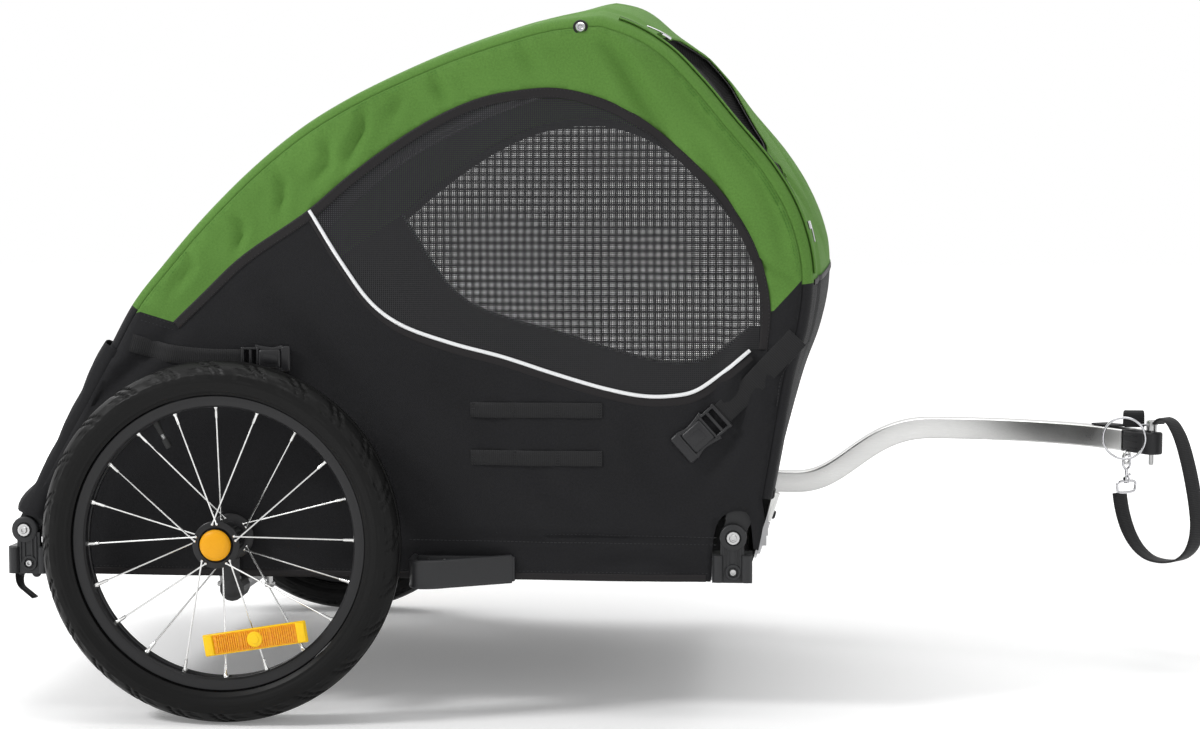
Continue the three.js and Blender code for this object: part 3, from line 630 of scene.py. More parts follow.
def hook_point(off, z, deep=0.0):
    """A point of the snap hook, off to its side and in front of its middle line."""
    return HOOK_FOOT + HOOK_WIDE * off + HOOK_DEEP * deep + (0, 0, z)


hook = Shape("snap_hook_steel")
eye_ring = [hook_point(6.4 * math.cos(a), 246 + 9.2 * math.sin(a)) for a in turns(36)]
hook.add(tube(eye_ring, 1.6, 10, HOOK_DEEP, closed=True), CHROME)
hook.add(rod(hook_point(0, 222), hook_point(0, 237), 2.3, 14), CHROME)
hook.add(turned([(0, 0), (3.2, 0), (4.6, 1.5), (4.6, 6), (3.4, 8.5), (2.4, 10), (0, 10)],
                hook_point(0, 219), (0, 0, 1), 20), CHROME)
hook.add(rod(hook_point(4.4, 237), hook_point(6.6, 251), 1.2, 8), CHROME)
hook.add(ball(hook_point(3.6, 230, 2.2), 1.7, 10), CHROME)
loop = [(-16, 219), (-15, 209.5), (-13.5, 208), (13.5, 208), (15, 209.5), (16, 219), (12, 221), (-12, 221)]
loop_line = resample(catmull(loop + [loop[0]], 6), 1.5)[:-1]
hook.add(tube([hook_point(off, z) for off, z in loop_line], 1.7, 10, HOOK_DEEP, closed=True), CHROME)
hook_obj = piece(hook, "tow_bar", "hitch_steel", "snap_hook")

# The strap's sewn end: a tab on the bar's top and a standing fold round the pin's head.
tab = Shape("strap_end_tab")
tab_path = resample(catmull([from_end(-62, 1, 288.6), from_end(-40, 1, 289), from_end(-18, 0, 290),
                             from_end(2, -1, 292)]), 3)
tab.add(sweep(tab_path, flat_section(25, 2.6), (0, 0, 1)), WEBBING)
fold = [(-5, 291), (-5.5, 300), (-4, 308), (0, 311), (4, 308), (5, 300), (5, 291)]
fold_centre = from_end(16, 0, 0)
fold_path = np.array([(fold_centre[0] - 6, fold_centre[1] + y, z) for y, z in resample(catmull(fold), 1.5)])
tab.add(sweep(fold_path, flat_section(25, 2.4), np.cross(np.gradient(fold_path, axis=0), (1, 0, 0))), WEBBING)
piece(tab, "tow_bar", "webbing")

# Tow bar: rounded square tube, its leaning hinge leaf and barrel.
BAR_Z = 198
INNER_END = np.array((594, TOW_Y, BAR_Z))
straight = [INNER_END + (x, 0, 0) for x in np.linspace(0, 46, 8, endpoint=False)]
t = np.linspace(0, 1, 34, endpoint=False)[:, None]
bezier = [np.array((x, TOW_Y, z), float) for x, z in ((640, BAR_Z), (705, BAR_Z), (730, TOW_Z), (820, TOW_Z))]
bend = ((1 - t) ** 3 * bezier[0] + 3 * (1 - t) ** 2 * t * bezier[1] + 3 * (1 - t) * t ** 2 * bezier[2]
        + t ** 3 * bezier[3])
arc = np.array([arc_point(a) for a in np.linspace(0, ARC_ANGLE, 46)])
bar_path = np.vstack([straight, bend, arc])
bar_tangent = np.gradient(bar_path, axis=0)
bar_up = np.cross(bar_tangent, np.cross((0, 0, 1), bar_tangent))
HINGE_LEAN = math.radians(18)
LEAN = Matrix.Translation((594, 0, 144)) @ Matrix.Rotation(HINGE_LEAN, 4, "Y")
BARREL = [(5.2, 1), (9.2, 1), (10, 2), (10, 41), (9.2, 42), (5.2, 42)]

bar = Shape("tow_bar_tube")
walls = [rounded_square(28, 2.6), rounded_square(23, 1.2)]
for wall in walls:
    bar.add(sweep(bar_path, wall, bar_up, caps=False), BAR_METAL)
for end in (0, -1):
    direction = unit(bar_tangent[end])
    across = unit(np.cross(direction, bar_up[end]))
    up_end = np.cross(across, direction)
    rings = [bar_path[end] + across * a + up_end * b for wall in walls for a, b in wall]
    k = len(walls[0])
    faces = [(i, (i + 1) % k, k + (i + 1) % k, k + i) for i in range(k)]
    bar.add((np.array(rings), faces, None), BAR_METAL)
bar.add(moved(block(-5.5, 5.5, TOW_Y - 10, TOW_Y + 22, 1, 42, 1.5), LEAN), BAR_METAL)
for closed in (True, False):
    bar.add(moved(turned(BARREL, (0, TOW_Y, 0), (0, 0, 1), 28, closed), LEAN), BAR_METAL)
for z in (14, 33):
    rivet = turned([(0, 2.0), (2.2, 1.8), (3.4, 1.0), (3.6, 0)], (5.5, TOW_Y + 15, z), (1, 0, 0), 18)
    bar.add(moved(rivet, LEAN), STEEL)
piece(bar, "tow_bar", "tow_bar", "tow_bar")

knob = Shape("tow_lock_button")
knob.add(moved(turned([(0, -4.5), (2.5, -4.5), (2.5, 6), (5.4, 6), (6, 6.8), (6, 12.6), (4.6, 14), (0, 14)],
                      (0, TOW_Y + 15, 9), (1, 0, 0), 24), LEAN), BUCKLE)
piece(knob, "tow_lock", "corner_plastic", "tow_lock_knob")

coupler = Shape("coupler_block")
turn_z = Matrix.Translation(Vector(BAR_END * (1, 1, 0))) @ Matrix.Rotation(-ARC_ANGLE, 4, "Z")
coupler.add(moved(block(1.2, PIN_REACH, -13.5, 13.5, 259, 286.5, 2.2, 3), turn_z), ELASTOMER)
coupler.add(turned([(3.8, 259), (12.2, 259), (13.5, 260.4), (13.5, 285), (12.2, 286.5), (3.8, 286.5)],
                   PIN * (1, 1, 0), (0, 0, 1), 36, closed=True), ELASTOMER)
coupler.add(moved(block(-9, 3, -10.4, 10.4, 262.5, 283.5, 1), turn_z), ELASTOMER)
for height in (264.5, 272.8, 281):
    for y in (13.1, -14.3):
        coupler.add(moved(block(4, 30, y, y + 1.2, height - 1, height + 1, 0.5), turn_z), ELASTOMER)
eye_turn = Matrix.Translation(Vector(EYE)) @ Matrix.Rotation(STRAP_TURN, 4, "Z")
eye_loop = [(0, 7.6 * math.cos(a), 8.2 * math.sin(a)) for a in turns(28)]
coupler.add(moved(sweep(eye_loop, rounded_square(3, 0.6, 2), (1, 0, 0), closed=True), eye_turn), STEEL)
piece(coupler, "tow_bar", "coupler", "flex_coupler")

pin = Shape("hitch_pin_steel")
pin_foot = PIN * (1, 1, 0)
pin.add(turned([(0, 245), (2.2, 245), (3.2, 246.4), (3.2, 288), (5.6, 288), (6.5, 289), (6.5, 300), (5.2, 302),
                (0, 302)], pin_foot, (0, 0, 1), 28), STEEL)
piece(pin, "hitch_pin", "hitch_steel", "hitch_pin")

bail = Shape("pin_bail_wire")
BAIL_R = 26
BAIL_TURN = math.radians(-14)   # the loose ring lies turned out from the bar
bail_along = np.array([math.cos(BAIL_TURN), math.sin(BAIL_TURN), 0])
bail_points = []
for a in turns(60):
    local = np.array([BAIL_R * math.cos(a) - BAIL_R * 0.75, BAIL_R * math.sin(a) - BAIL_R * 0.66])
    bail_points.append(from_end(PIN_REACH, 17.5, 296) + bail_along * local[0] + np.array([0, 0, local[1]]))
bail.add(tube(bail_points, 1.5, 10, (math.sin(BAIL_TURN), -math.cos(BAIL_TURN), 0), closed=True), CHROME)
bail.add(rod(from_end(PIN_REACH, -9, 296), from_end(PIN_REACH, 17.5, 296), 1.5, 10), CHROME)
piece(bail, "pin_bail", "hitch_steel", "pin_bail")


# ---- wheels -------------------------------------------------------------------------------------
SPOKES = 20


def wheel_ring(outline, s, segments):
    """A ring about the wheel's axle from (radius, distance out from the middle of the tyre) points."""
    return turned_out([(r, WHEEL_Y + off) for r, off in outline], 0, AXLE_Z, s, segments, closed=True)


def wheel_point(radius, angle, y):
    return np.array((radius * math.cos(angle), y, AXLE_Z + radius * math.sin(angle)))


def tread_profile():
    """Half of a tyre's section, tread to bead, as (radius, distance out)."""
    crown = [(199.5 - 0.028 * w * w, w) for w in np.linspace(0, 12, 9)]
    side = catmull([(195.5, 12), (193, 15.6), (188.5, 19.6), (183.5, 22.1), (179, 22.9), (174, 22.3), (169, 20.2),
                    (165, 18.2), (163, 17)], 4)
    return crown + [tuple(p) for p in side[1:]]


TREAD_REPEAT = 15.0             # degrees
SHOULDER = 193                  # radius at which the tread turns into the side wall


def tyre_part(s):
    half = tread_profile()
    outline = [(r, -w) for r, w in half[::-1]] + half[1:]
    outline += [(163, 11), (178, 16.5), (190, 8), (190, -8), (178, -16.5), (163, -11)]
    segments = 420
    points, faces, uvs = wheel_ring(outline, s, segments)
    k = len(outline)
    points = points.reshape(segments, k, 3)
    radial = points - (0, 0, AXLE_Z)
    radius = np.hypot(radial[..., 0], radial[..., 2])
    angle = np.degrees(np.arctan2(radial[..., 2], radial[..., 0]))
    out = np.abs(points[..., 1]) - WHEEL_Y
    skin = (np.arange(k) < 2 * len(half) - 1)[None, :]
    lean = np.where(out > 0, 1, -1) * (np.abs(out) - 5) * 0.32
    phase = (angle + lean) % TREAD_REPEAT
    groove = (np.abs(phase - 3) < 0.62) | (np.abs(phase - 6.2) < 0.62)
    groove &= (np.abs(out) > 5) & (radius > 186)
    centre = np.abs(np.abs(out) - 4.2) < 0.8
    knob = (np.abs(phase - 11) < 1.6) & (np.abs(out) > 12) & (radius > 187) & (radius < 193)
    depth = skin * (1.9 * groove + 1.5 * (centre & (radius > 198)) + 1.1 * knob)
    raised = np.zeros_like(depth)
    for ring, high, width in ((185.6, 0.7, 0.9), (176.5, 0.5, 0.8), (167.4, 0.9, 1.3)):
        raised += high * np.exp(-((radius - ring) / width) ** 2)
    raised = np.where(skin & (np.abs(out) > 14), raised, 0)
    raised += 0.7 * ((np.abs(angle % TREAD_REPEAT - 4.6) < 3.0) & (radius > 179.5) & (radius < 187) & skin)
    direction = unit(radial)
    points = points - direction * depth[..., None] * (radius > SHOULDER)[..., None]
    points[..., 1] += np.sign(points[..., 1]) * np.sign(out) * (raised - depth * (radius <= SHOULDER))
    return points.reshape(-1, 3), faces, uvs


def rim_outline():
    half = [(150.2, 3), (149, 4), (149, 9), (151, 11.6), (154.5, 12.8), (158, 12.6), (161, 13.2), (162.2, 12.6),
            (162.2, 10.4), (160.8, 9.8), (155.4, 8.6), (154.6, 7)]
    return half + [(r, -w) for r, w in half[::-1]]


VALVE = np.array((-0.477, 0, 0.879))
NIPPLE = [(0.95, 0), (1.7, 0.4), (1.9, 3), (1.9, 10.5), (3.0, 12.5), (3.0, 15)]
HUB_OUTLINE = [(9, 305), (12.2, 305), (12.2, 298.5), (24.8, 298.5), (26, 299.4), (26, 300.6), (24.8, 301.5),
               (17.5, 302.4), (15.5, 305), (15.5, 352), (18, 356), (24.8, 359), (26, 360), (26, 361.2), (24.8, 362),
               (19.4, 362), (18.2, 361), (18.2, 358.5), (12.2, 358.5), (12.2, 346), (9, 346)]
CAP_OUTLINE = [(0, 369.7), (6, 369.6), (10, 369.2), (13.4, 368.3), (15.8, 366.8), (17, 364.8), (17, 363.2), (0, 363.2)]


def spoke_set(side, s):
    spokes = Shape(f"spokes_{side}")
    for i in range(SPOKES):
        hub_r, hub_y, flange_y = (21.5, 303.5, 301.2) if i % 2 else (23, 364.0, 362.4)
        rim_angle = 2 * math.pi * (i + 0.08) / SPOKES
        hub_angle = rim_angle + (1 if i % 4 < 2 else -1) * 0.42
        start = wheel_point(hub_r, hub_angle, s * hub_y)
        end = wheel_point(150, rim_angle, s * WHEEL_Y)
        along = unit(end - start)
        spokes.add(rod(start, end, 0.95, 8, 0.2), SPOKE)
        spokes.add(turned(NIPPLE, end - along * 14.5, along, 10), SPOKE)
        spokes.add(rod((start[0], s * flange_y, start[2]), start + (0, s * 0.7, 0), 1.5, 10), SPOKE)
        spokes.add(ball(start, 1.45, 8), SPOKE)
    return spokes


def hub_shell(side, s):
    hub = Shape(f"hub_body_{side}").add(turned_out(HUB_OUTLINE, 0, AXLE_Z, s, 64, closed=True), HUB)
    for i in range(SPOKES // 2):
        a = 2 * math.pi * (i + 0.5) / (SPOKES // 2)
        hub.add(rod(wheel_point(16.5, a, s * 312), wheel_point(16.5, a, s * 348), 1.2, 8), HUB)
    return hub


def inner_tube(side, s):
    """The butyl tube with its valve: rubber sleeve, threaded stem and cap."""
    inner = Shape(f"inner_tube_butyl_{side}")
    inner.add(wheel_ring([(179.5 + y, x) for y, x in round_section(9.5, 16)], s, 96), BUTYL)
    thread = [(0, 136), (2.6, 136)]
    for i in range(10):
        z = 135 - i * 0.8
        thread += [(2.65, z), (2.35, z - 0.4)]
    for outline, finish in (([(0, 172), (3.9, 172), (3.9, 146), (3.2, 142), (3.1, 134), (0, 134)], BUTYL),
                            (thread + [(0, 126.5)], STEEL),
                            ([(0, 128.5), (3.6, 128.5), (3.9, 127.8), (3.9, 119), (3.2, 117.4), (0, 117.4)], BUTYL)):
        inner.add(turned(outline, (0, s * WHEEL_Y, AXLE_Z), VALVE, 16), finish)
    return inner


def release_button(side, s):
    button = Shape(f"release_cap_{side}").add(turned_out(CAP_OUTLINE, 0, AXLE_Z, s, 48), AMBER)
    stem = [(0, 300), (2.7, 300), (2.7, 363.6), (0, 363.6)]
    return button.add(turned_out(stem, 0, AXLE_Z, s, 14), STEEL)


def reflector_tray(side, s):
    """A moulded tray of three prismatic lenses, brighter end blocks and a boss."""
    reflector = Shape(f"reflector_lens_{side}")
    place = Matrix.Translation((43, s * 361, 98)) @ Matrix.Rotation(-0.16, 4, "Y")

    def lens(part, finish=REFLECTOR_EDGE):
        reflector.add(moved(mirrored(part, s), place), finish)

    lens(block(-57.5, 57.5, 0, 4.5, -12, 12, 1.6, 3))
    for x0, x1 in ((-44, -17), (-16, 16), (17, 44)):
        for i in range(int((x1 - x0) // 2.4)):
            x = x0 + 0.6 + i * 2.4
            lens(block(x, x + 1.9, 4, 6.4, -9.6, 9.6, 0.7, 2), REFLECTOR)
    lens(block(-46, 46, 3.6, 5.2, -10.6, 10.6, 0.6), REFLECTOR)
    for x in (-51.5, 51.5):
        lens(block(x - 5, x + 5, 3.8, 7.0, -11, 11, 1.4, 3))
    boss = [(0, 8.4), (4.4, 8.4), (5.2, 7.6), (7.4, 7.4), (8.6, 6.2), (8.6, 3), (0, 3)]
    lens(turned(boss, (0, 0, 0), (0, 1, 0), 28))
    for x in (-10, 10):
        lens(block(x - 2.5, x + 2.5, -4.5, 0.5, -6, 6, 0.8))
    return reflector


for side, s in SIDES:
    wheel = f"wheel_{side}"
    piece(Shape(f"tyre_tread_{side}").add(tyre_part(s), TYRE), wheel, "tyre", f"tyre_{side}", sharp=50)
    piece(Shape(f"rim_hoop_{side}").add(wheel_ring(rim_outline(), s, 144), RIM), wheel, "rim", f"rim_{side}", sharp=30)
    piece(spoke_set(side, s), wheel, "spokes", f"spoke_set_{side}")
    piece(hub_shell(side, s), wheel, "hub", f"hub_shell_{side}")
    piece(inner_tube(side, s), wheel, "inner_tube", f"inner_tube_{side}")
    piece(release_button(side, s), f"button_{side}", "button", f"release_button_{side}")
    piece(reflector_tray(side, s), wheel, "reflector", f"reflector_{side}")
    repaint(STEEL, f"axle_{side}", f"bearing_inner_{side}", f"bearing_outer_{side}")

# ---- frame: hoops, rails, brackets ------------------------------------------------------------------
REAR_LEAN = math.radians(29)
FRONT_LEAN = math.radians(16)


def along_lean(x, lean, distance):
    return x + distance * math.sin(lean), PIVOT_Z + distance * math.cos(lean)


def hoop_path(legs, leg_y, corner_r, cross_x, cross_z, arch):
    leg = [(x, leg_y, z) for x, z in legs]
    x0, _, z0 = leg[-1]
    corner = []
    for t_ in (0.3, 0.65):
        a = t_ * math.pi / 2
        corner.append((x0 + (cross_x - x0) * math.sin(a), leg_y - corner_r * (1 - math.cos(a)),
                       z0 + (cross_z - z0) * math.sin(a)))
    half_bar = leg_y - corner_r
    over = [(cross_x, half_bar * t_, cross_z + arch * (1 - t_ * t_)) for t_ in (1, 0.55)]
    half = leg + corner + over
    other = [(x, -y, z) for x, y, z in half[::-1]]
    return resample(catmull(half + [(cross_x, 0, cross_z + arch)] + other), 12)


rear_legs = [along_lean(PIVOT_X["rear"], REAR_LEAN, reach) for reach in (22, 120)]
front_legs = [along_lean(PIVOT_X["front"], FRONT_LEAN, reach) for reach in (22, 120)]
rear_path = hoop_path(rear_legs + [(-128, 399), (-97, 450), (-65, 491), (-22, 544), (34, 597), (88, 640), (143, 672),
                                   (198, 698), (253, 720), (308, 737), (345, 745), (380, 750)], 270, 60, 440, 752, 21)
front_path = hoop_path(front_legs + [(610, 388), (624, 436), (628, 478), (622, 520), (606, 560), (583, 600),
                                     (545, 645)], 243, 60, 486, 702, 22)
for name, path in (("rear_hoop", rear_path), ("front_hoop", front_path)):
    hint = np.cross(np.gradient(path, axis=0), (0.3, 0, 1))
    piece(Shape(f"{name}_tube").add(tube(path, 11, 20, hint), TUBE_METAL), name, "frame_tube", name)

repaint(TUBE_METAL, "side_rail_right", "side_rail_left", "front_crossbar", "rear_crossbar", "axle_crossbar",
        "tow_bracket")
repaint(STEEL, "tow_hinge_pin")
soften(0.8, "tow_bracket")
for side, s in SIDES:
    for end in PIVOT_X:
        moulded = (f"corner_bracket_{end}_{side}", f"hoop_knuckle_{end}_{side}")
        repaint(BRACKET, *moulded)
        soften(1.4, *moulded)
        repaint(STEEL, f"pivot_bolt_{end}_{side}")
    repaint(BRACKET, f"axle_receiver_{side}")
    soften(0.8, f"axle_receiver_{side}")


def screw(x, y, z, s, radius=4.4):
    """A socket screw's head facing out."""
    outline = [(0, -2.2), (radius * 0.5, -2.2), (radius * 0.55, 0.5), (radius * 0.8, 0.5), (radius, -0.5),
               (radius, -2.5)]
    return turned_out(outline, x, z, s, 24, y=s * y)


PIVOT_RIM = [(8.0, 290.6), (8.8, 291.8), (13.2, 291.8), (14.6, 290.8), (14.6, 287.5), (8.0, 287.5)]
SCREW_SEAT = [(5.6, 290.2), (6, 291.8), (8.4, 291.8), (9, 290.8), (9, 288), (5.6, 288)]
for side, s in SIDES:
    for end, x0, x1 in (("front", 536, 580), ("rear", -258, -212)):
        middle = (x0 + x1) / 2
        trim = Shape(f"bracket_trim_{end}_{side}")
        trim.add(turned_out(PIVOT_RIM, PIVOT_X[end], PIVOT_Z, s, 40, closed=True), BRACKET)
        for x in (x0 + 6.5, x1 - 6.5):
            trim.add(sweep([(x, s * 288.2, 153.6), (x, s * 288.2, 183.4)], round_section(6.3, 20), (1, 0, 0)), BRACKET)
        for off in (-9, -4.4, 4.4, 9):
            x = middle + off
            trim.add(block(x - 0.9, x + 0.9, s * 286, s * 291.4, 166, 196, 0.5), BRACKET)
        trim.add(turned_out(SCREW_SEAT, middle + 1, 165, s, 32, closed=True), BRACKET)
        trim.add(screw(middle + 1, 292.6, 165, s, 3.9), STEEL)
        piece(trim, "root", "corner_plastic")
        piece(Shape(f"pivot_screw_{end}_{side}").add(screw(PIVOT_X[end], 295.4, PIVOT_Z, s), STEEL),
              "root", "fasteners")

# Rear corner: a strap tail under each bracket, and the two round feet that it is sewn round.
for side, s in SIDES:
    tail = Shape(f"rear_pull_tab_{side}")
    path = catmull([(-250, s * 276, 154), (-250, s * 279, 146), (-247, s * 282, 138), (-238, s * 284, 131),
                    (-230, s * 285, 125)], 5)
    tail.add(sweep(path, flat_section(15, 2), (0.7, 0, 0.7)), WEBBING)
    for x in (-250, -231):
        tail.add(ball((x, s * 276, 152), 5.5, 12), BRACKET)
    piece(tail, "root", "webbing")

# Wheel guards: a curved band with a rolled lip, bowed out round the front of each tyre.
for side, s in SIDES:
    guard = Shape(f"wheel_guard_band_{side}")
    bow = resample(catmull([(314, 293, 166), (290, 306, 166), (255, 325, 166), (232, 337, 166), (216, 338, 166),
                            (209, 328, 166), (207, 310, 166), (207, 293, 166)]), 3)
    section = [(-15.4, -2.0), (-14, -3.0), (-11, -2.2), (11, -2.2), (14, -3.0), (15.6, -2.0), (16, 0), (15.6, 2.0),
               (14, 3.0), (11, 2.2), (-11, 2.2), (-14, 3.0), (-15.4, 2.0), (-16, 0)]
    up = np.cross(np.gradient(bow, axis=0), (0, 0, 1))
    guard.add(mirrored(sweep(bow, section, up), s), BRACKET)
    guard.add(mirrored(block(206, 318, 290.5, 294.2, 152, 180, 1.4), s), BRACKET)
    for x in (222, 300):
        guard.add(mirrored(block(x - 1.2, x + 1.2, 293.6, 295.6, 155, 177, 0.8), s), BRACKET)
    guard.add(screw(240, 296, 172, s), STEEL)
    piece(guard, "root", "corner_plastic", f"wheel_guard_{side}")

# Axle receiver's bolts and the boss round the crossbar's end.
RECEIVER_BOSS = [(0, 297), (9, 297), (10.5, 296), (12.6, 296), (13.4, 295), (13.4, 291), (0, 291)]
for side, s in SIDES:
    boss = Shape(f"axle_receiver_trim_{side}").add(turned_out(RECEIVER_BOSS, 0, 140, s), BRACKET)
    for x in (-14, 40):
        boss.add(turned([(0, 141), (5.2, 141), (6, 142), (6, 146), (3.4, 146), (3.4, 153), (0, 153)],
                        (x, s * 284, 0), (0, 0, 1), 6), STEEL)
    piece(boss, "root", "corner_plastic")

# ---- cabin: the canopy is one sheet over the roof and down the front --------------------------------
ROOF = resample(catmull([(-143, 405), (-112, 460), (-77, 503), (-31, 555), (26, 610), (82, 654), (138, 687),
                         (194, 713), (249, 735), (304, 753), (358, 767), (413, 772)]), 1)
FRONT = resample(catmull([(413, 772), (450, 759), (485, 738), (521, 702), (556, 660), (597, 611), (624, 566),
                          (639, 520), (643, 480), (638, 435), (625, 385), (607, 280), (601, 245)]), 1)
ROOF_LENGTH = lengths(ROOF)[-1]
FRONT_LENGTH = lengths(FRONT)[-1]
EDGE = np.vstack([ROOF[:-1], FRONT])
EDGE_S = lengths(EDGE)
EDGE_LENGTH = EDGE_S[-1]
EDGE_T = np.gradient(np.stack([np.convolve(np.pad(EDGE[:, i], 12, "edge"), np.ones(25) / 25, "valid")
                               for i in range(2)], 1), axis=0)
EDGE_T[:13] = EDGE_T[13]
EDGE_T[-13:] = EDGE_T[-14]
EDGE_T = unit(EDGE_T)
WRAP = 11                       # radius of the sleeve round the hoops at the cabin's edges


def edge_at(s_):
    """Point and direction of the cabin's edge."""
    return [np.stack([np.interp(s_, EDGE_S, line[:, i]) for i in range(2)], -1) for line in (EDGE, EDGE_T)]


def crown(s_):
    s_ = np.asarray(s_, float)
    u_roof = s_ / ROOF_LENGTH
    u_front = (s_ - ROOF_LENGTH) / FRONT_LENGTH
    roof = 32 * u_roof ** 2
    front = np.where(u_front < 0.55, 32, 32 - 62 * (u_front - 0.55))
    ridge = 10 * np.exp(-((s_ - ROOF_LENGTH - 18) / 34) ** 2) - 3.5 * np.exp(-((s_ - ROOF_LENGTH - 72) / 26) ** 2)
    return np.where(s_ < ROOF_LENGTH, roof, front) + ridge


def u_front(u):
    """Distance along the cabin's edge of a share of its front part."""
    return ROOF_LENGTH + u * FRONT_LENGTH


GAP_U = np.array([0.104, 0.122, 0.175, 0.245, 0.31, 0.375, 0.425])
GAP_LEFT = -276.0
GAP_RIGHT = np.array([-270, -212, -172, -178, -204, -240, -270])
GAP_REST = -200.0               # where the column along the slit's edge runs away from the slit


def gap_right(s_):
    u = (np.asarray(s_, float) - ROOF_LENGTH) / FRONT_LENGTH
    return np.interp(u, np.r_[GAP_U[0] - 0.05, GAP_U, GAP_U[-1] + 0.06], np.r_[GAP_REST, GAP_RIGHT, GAP_REST])


def gap_depth(s_, y):
    """How far a point is inside the opening of the unzipped door, from 0 at its edge."""
    u = (s_ - ROOF_LENGTH) / FRONT_LENGTH
    ends = np.minimum(u - GAP_U[0], GAP_U[-1] - u) * FRONT_LENGTH
    return np.minimum(np.minimum(y - GAP_LEFT, gap_right(s_) - y), ends)


# Each crease of the canopy: from (along, across) to (along, across), half width and depth; along counts
# from the roof's front end in the first list and from its rear end in the second.
FRONT_CREASES = ((-60, -230, 30, -120, 8, -4.5), (-20, 210, 60, 60, 8, -2.4), (190, -265, 345, -205, 8, -6.0),
                 (240, -262, 365, -150, 8, -5.0), (170, -120, 330, -175, 9, -4.5), (170, 150, 320, 190, 9, -4.5),
                 (290, -60, 370, 80, 10, -3.0))
ROOF_CREASES = ((200, -150, 260, 160, 12, -1.6), (420, 190, 470, -100, 12, -1.8), (70, 100, 130, -170, 11, -1.8))
CANOPY_CREASES = [(s0 + start, y0, s1 + start, y1, width, depth)
                  for start, creases in ((ROOF_LENGTH, FRONT_CREASES), (0, ROOF_CREASES))
                  for s0, y0, s1, y1, width, depth in creases]


def canopy_lift(s_, y):
    """Creases and the swell over the sleeves, outwards in millimetres."""
    a = np.abs(y)
    u = (s_ - ROOF_LENGTH) / FRONT_LENGTH
    lift = 1.2 * np.exp(-((a - 262) / 9) ** 2) - 1.6 * np.exp(-((a - 246) / 6) ** 2)
    lift = lift + 1.6 * np.sin(s_ / 61 + 1.3 * np.sin(y / 90)) * np.sin(y / 130 + 0.5) * (a < 240)
    flat = np.stack([np.ravel(s_), np.ravel(y)], 1)
    for s0, y0, s1, y1, width, depth in CANOPY_CREASES:
        d, t_ = distance_to(np.array([(s0, y0), (s1, y1)]), flat)
        fade = np.sin(np.clip(t_, 0.0, 1.0) * math.pi) ** 0.6
        lift = lift + (depth * np.exp(-(d / width) ** 2) * fade).reshape(np.shape(lift))
    return lift + np.exp(-((u - 0.23) / 0.11) ** 2) * np.exp(-((y + 150) / 60) ** 2) * 5


def canopy_point(s_, y, lift=0.0):
    """A point of the canopy at distance s_ along the edge and y across, in mm."""
    s_, y = np.broadcast_arrays(np.asarray(s_, float), np.asarray(y, float))
    point, tangent = edge_at(s_)
    normal = np.stack([-tangent[..., 1], tangent[..., 0]], -1)
    over = np.maximum(np.abs(y) - (SIDE_Y - WRAP), 0)
    angle = np.clip(over / WRAP, 0, math.pi / 2)
    flat_y = np.where(over > 0, np.sign(y) * (SIDE_Y - WRAP + WRAP * np.sin(angle)), y)
    drop = WRAP * (1 - np.cos(angle))
    fade = np.where(over > 0, np.cos(angle), 1)
    out = crown(s_) * (1 - (flat_y / SIDE_Y) ** 2) - drop + (canopy_lift(s_, y) * (np.abs(y) < 276) + lift) * fade
    flat_y = flat_y + np.sign(y) * (1 - fade) * lift
    return np.stack([point[..., 0] + normal[..., 0] * out, flat_y, point[..., 1] + normal[..., 1] * out], -1)


WRAP_REACH = SIDE_Y - WRAP + WRAP * math.pi / 2
half_across = np.r_[np.linspace(0, 276, 41), np.linspace(SIDE_Y - WRAP, WRAP_REACH, 6)]
ACROSS = np.r_[-half_across[:0:-1], half_across]
GREEN_START = 60
GREEN_END = u_front(0.592)


def front_seam(y):
    """Where the green ends on the front: it dips towards the sides."""
    return GREEN_END + 16 * (np.abs(y) / SIDE_Y) ** 2


# The mesh's rows run along both seams, and one of its columns along the slit's edge.
row_share = np.r_[np.linspace(0, 1, 11), np.linspace(1, 2, 176)[1:], np.linspace(2, 3, 47)[1:]]
grid_share, grid_y = np.meshgrid(row_share, ACROSS, indexing="ij")
seam_s = front_seam(grid_y)
grid_s = np.where(grid_share < 1, grid_share * GREEN_START,
                  np.where(grid_share < 2, GREEN_START + (grid_share - 1) * (seam_s - GREEN_START),
                           seam_s + (grid_share - 2) * (EDGE_LENGTH - seam_s)))
slit = gap_right(grid_s)
rest_y = half_across[np.argmin(np.abs(half_across + GAP_REST))] * -1.0
grid_y = np.where((grid_y > GAP_LEFT) & (grid_y < rest_y),
                  GAP_LEFT + (grid_y - GAP_LEFT) / (rest_y - GAP_LEFT) * (slit - GAP_LEFT),
                  np.where((grid_y >= rest_y) & (grid_y < 0), slit * grid_y / rest_y, grid_y))
opening = gap_depth(grid_s, grid_y)
sink = -11 * smoothstep(opening / 7)
canopy_points = canopy_point(grid_s, grid_y)
edge_tangent = edge_at(grid_s)[1]
canopy_points[..., 0] += -edge_tangent[..., 1] * sink
canopy_points[..., 2] += edge_tangent[..., 0] * sink

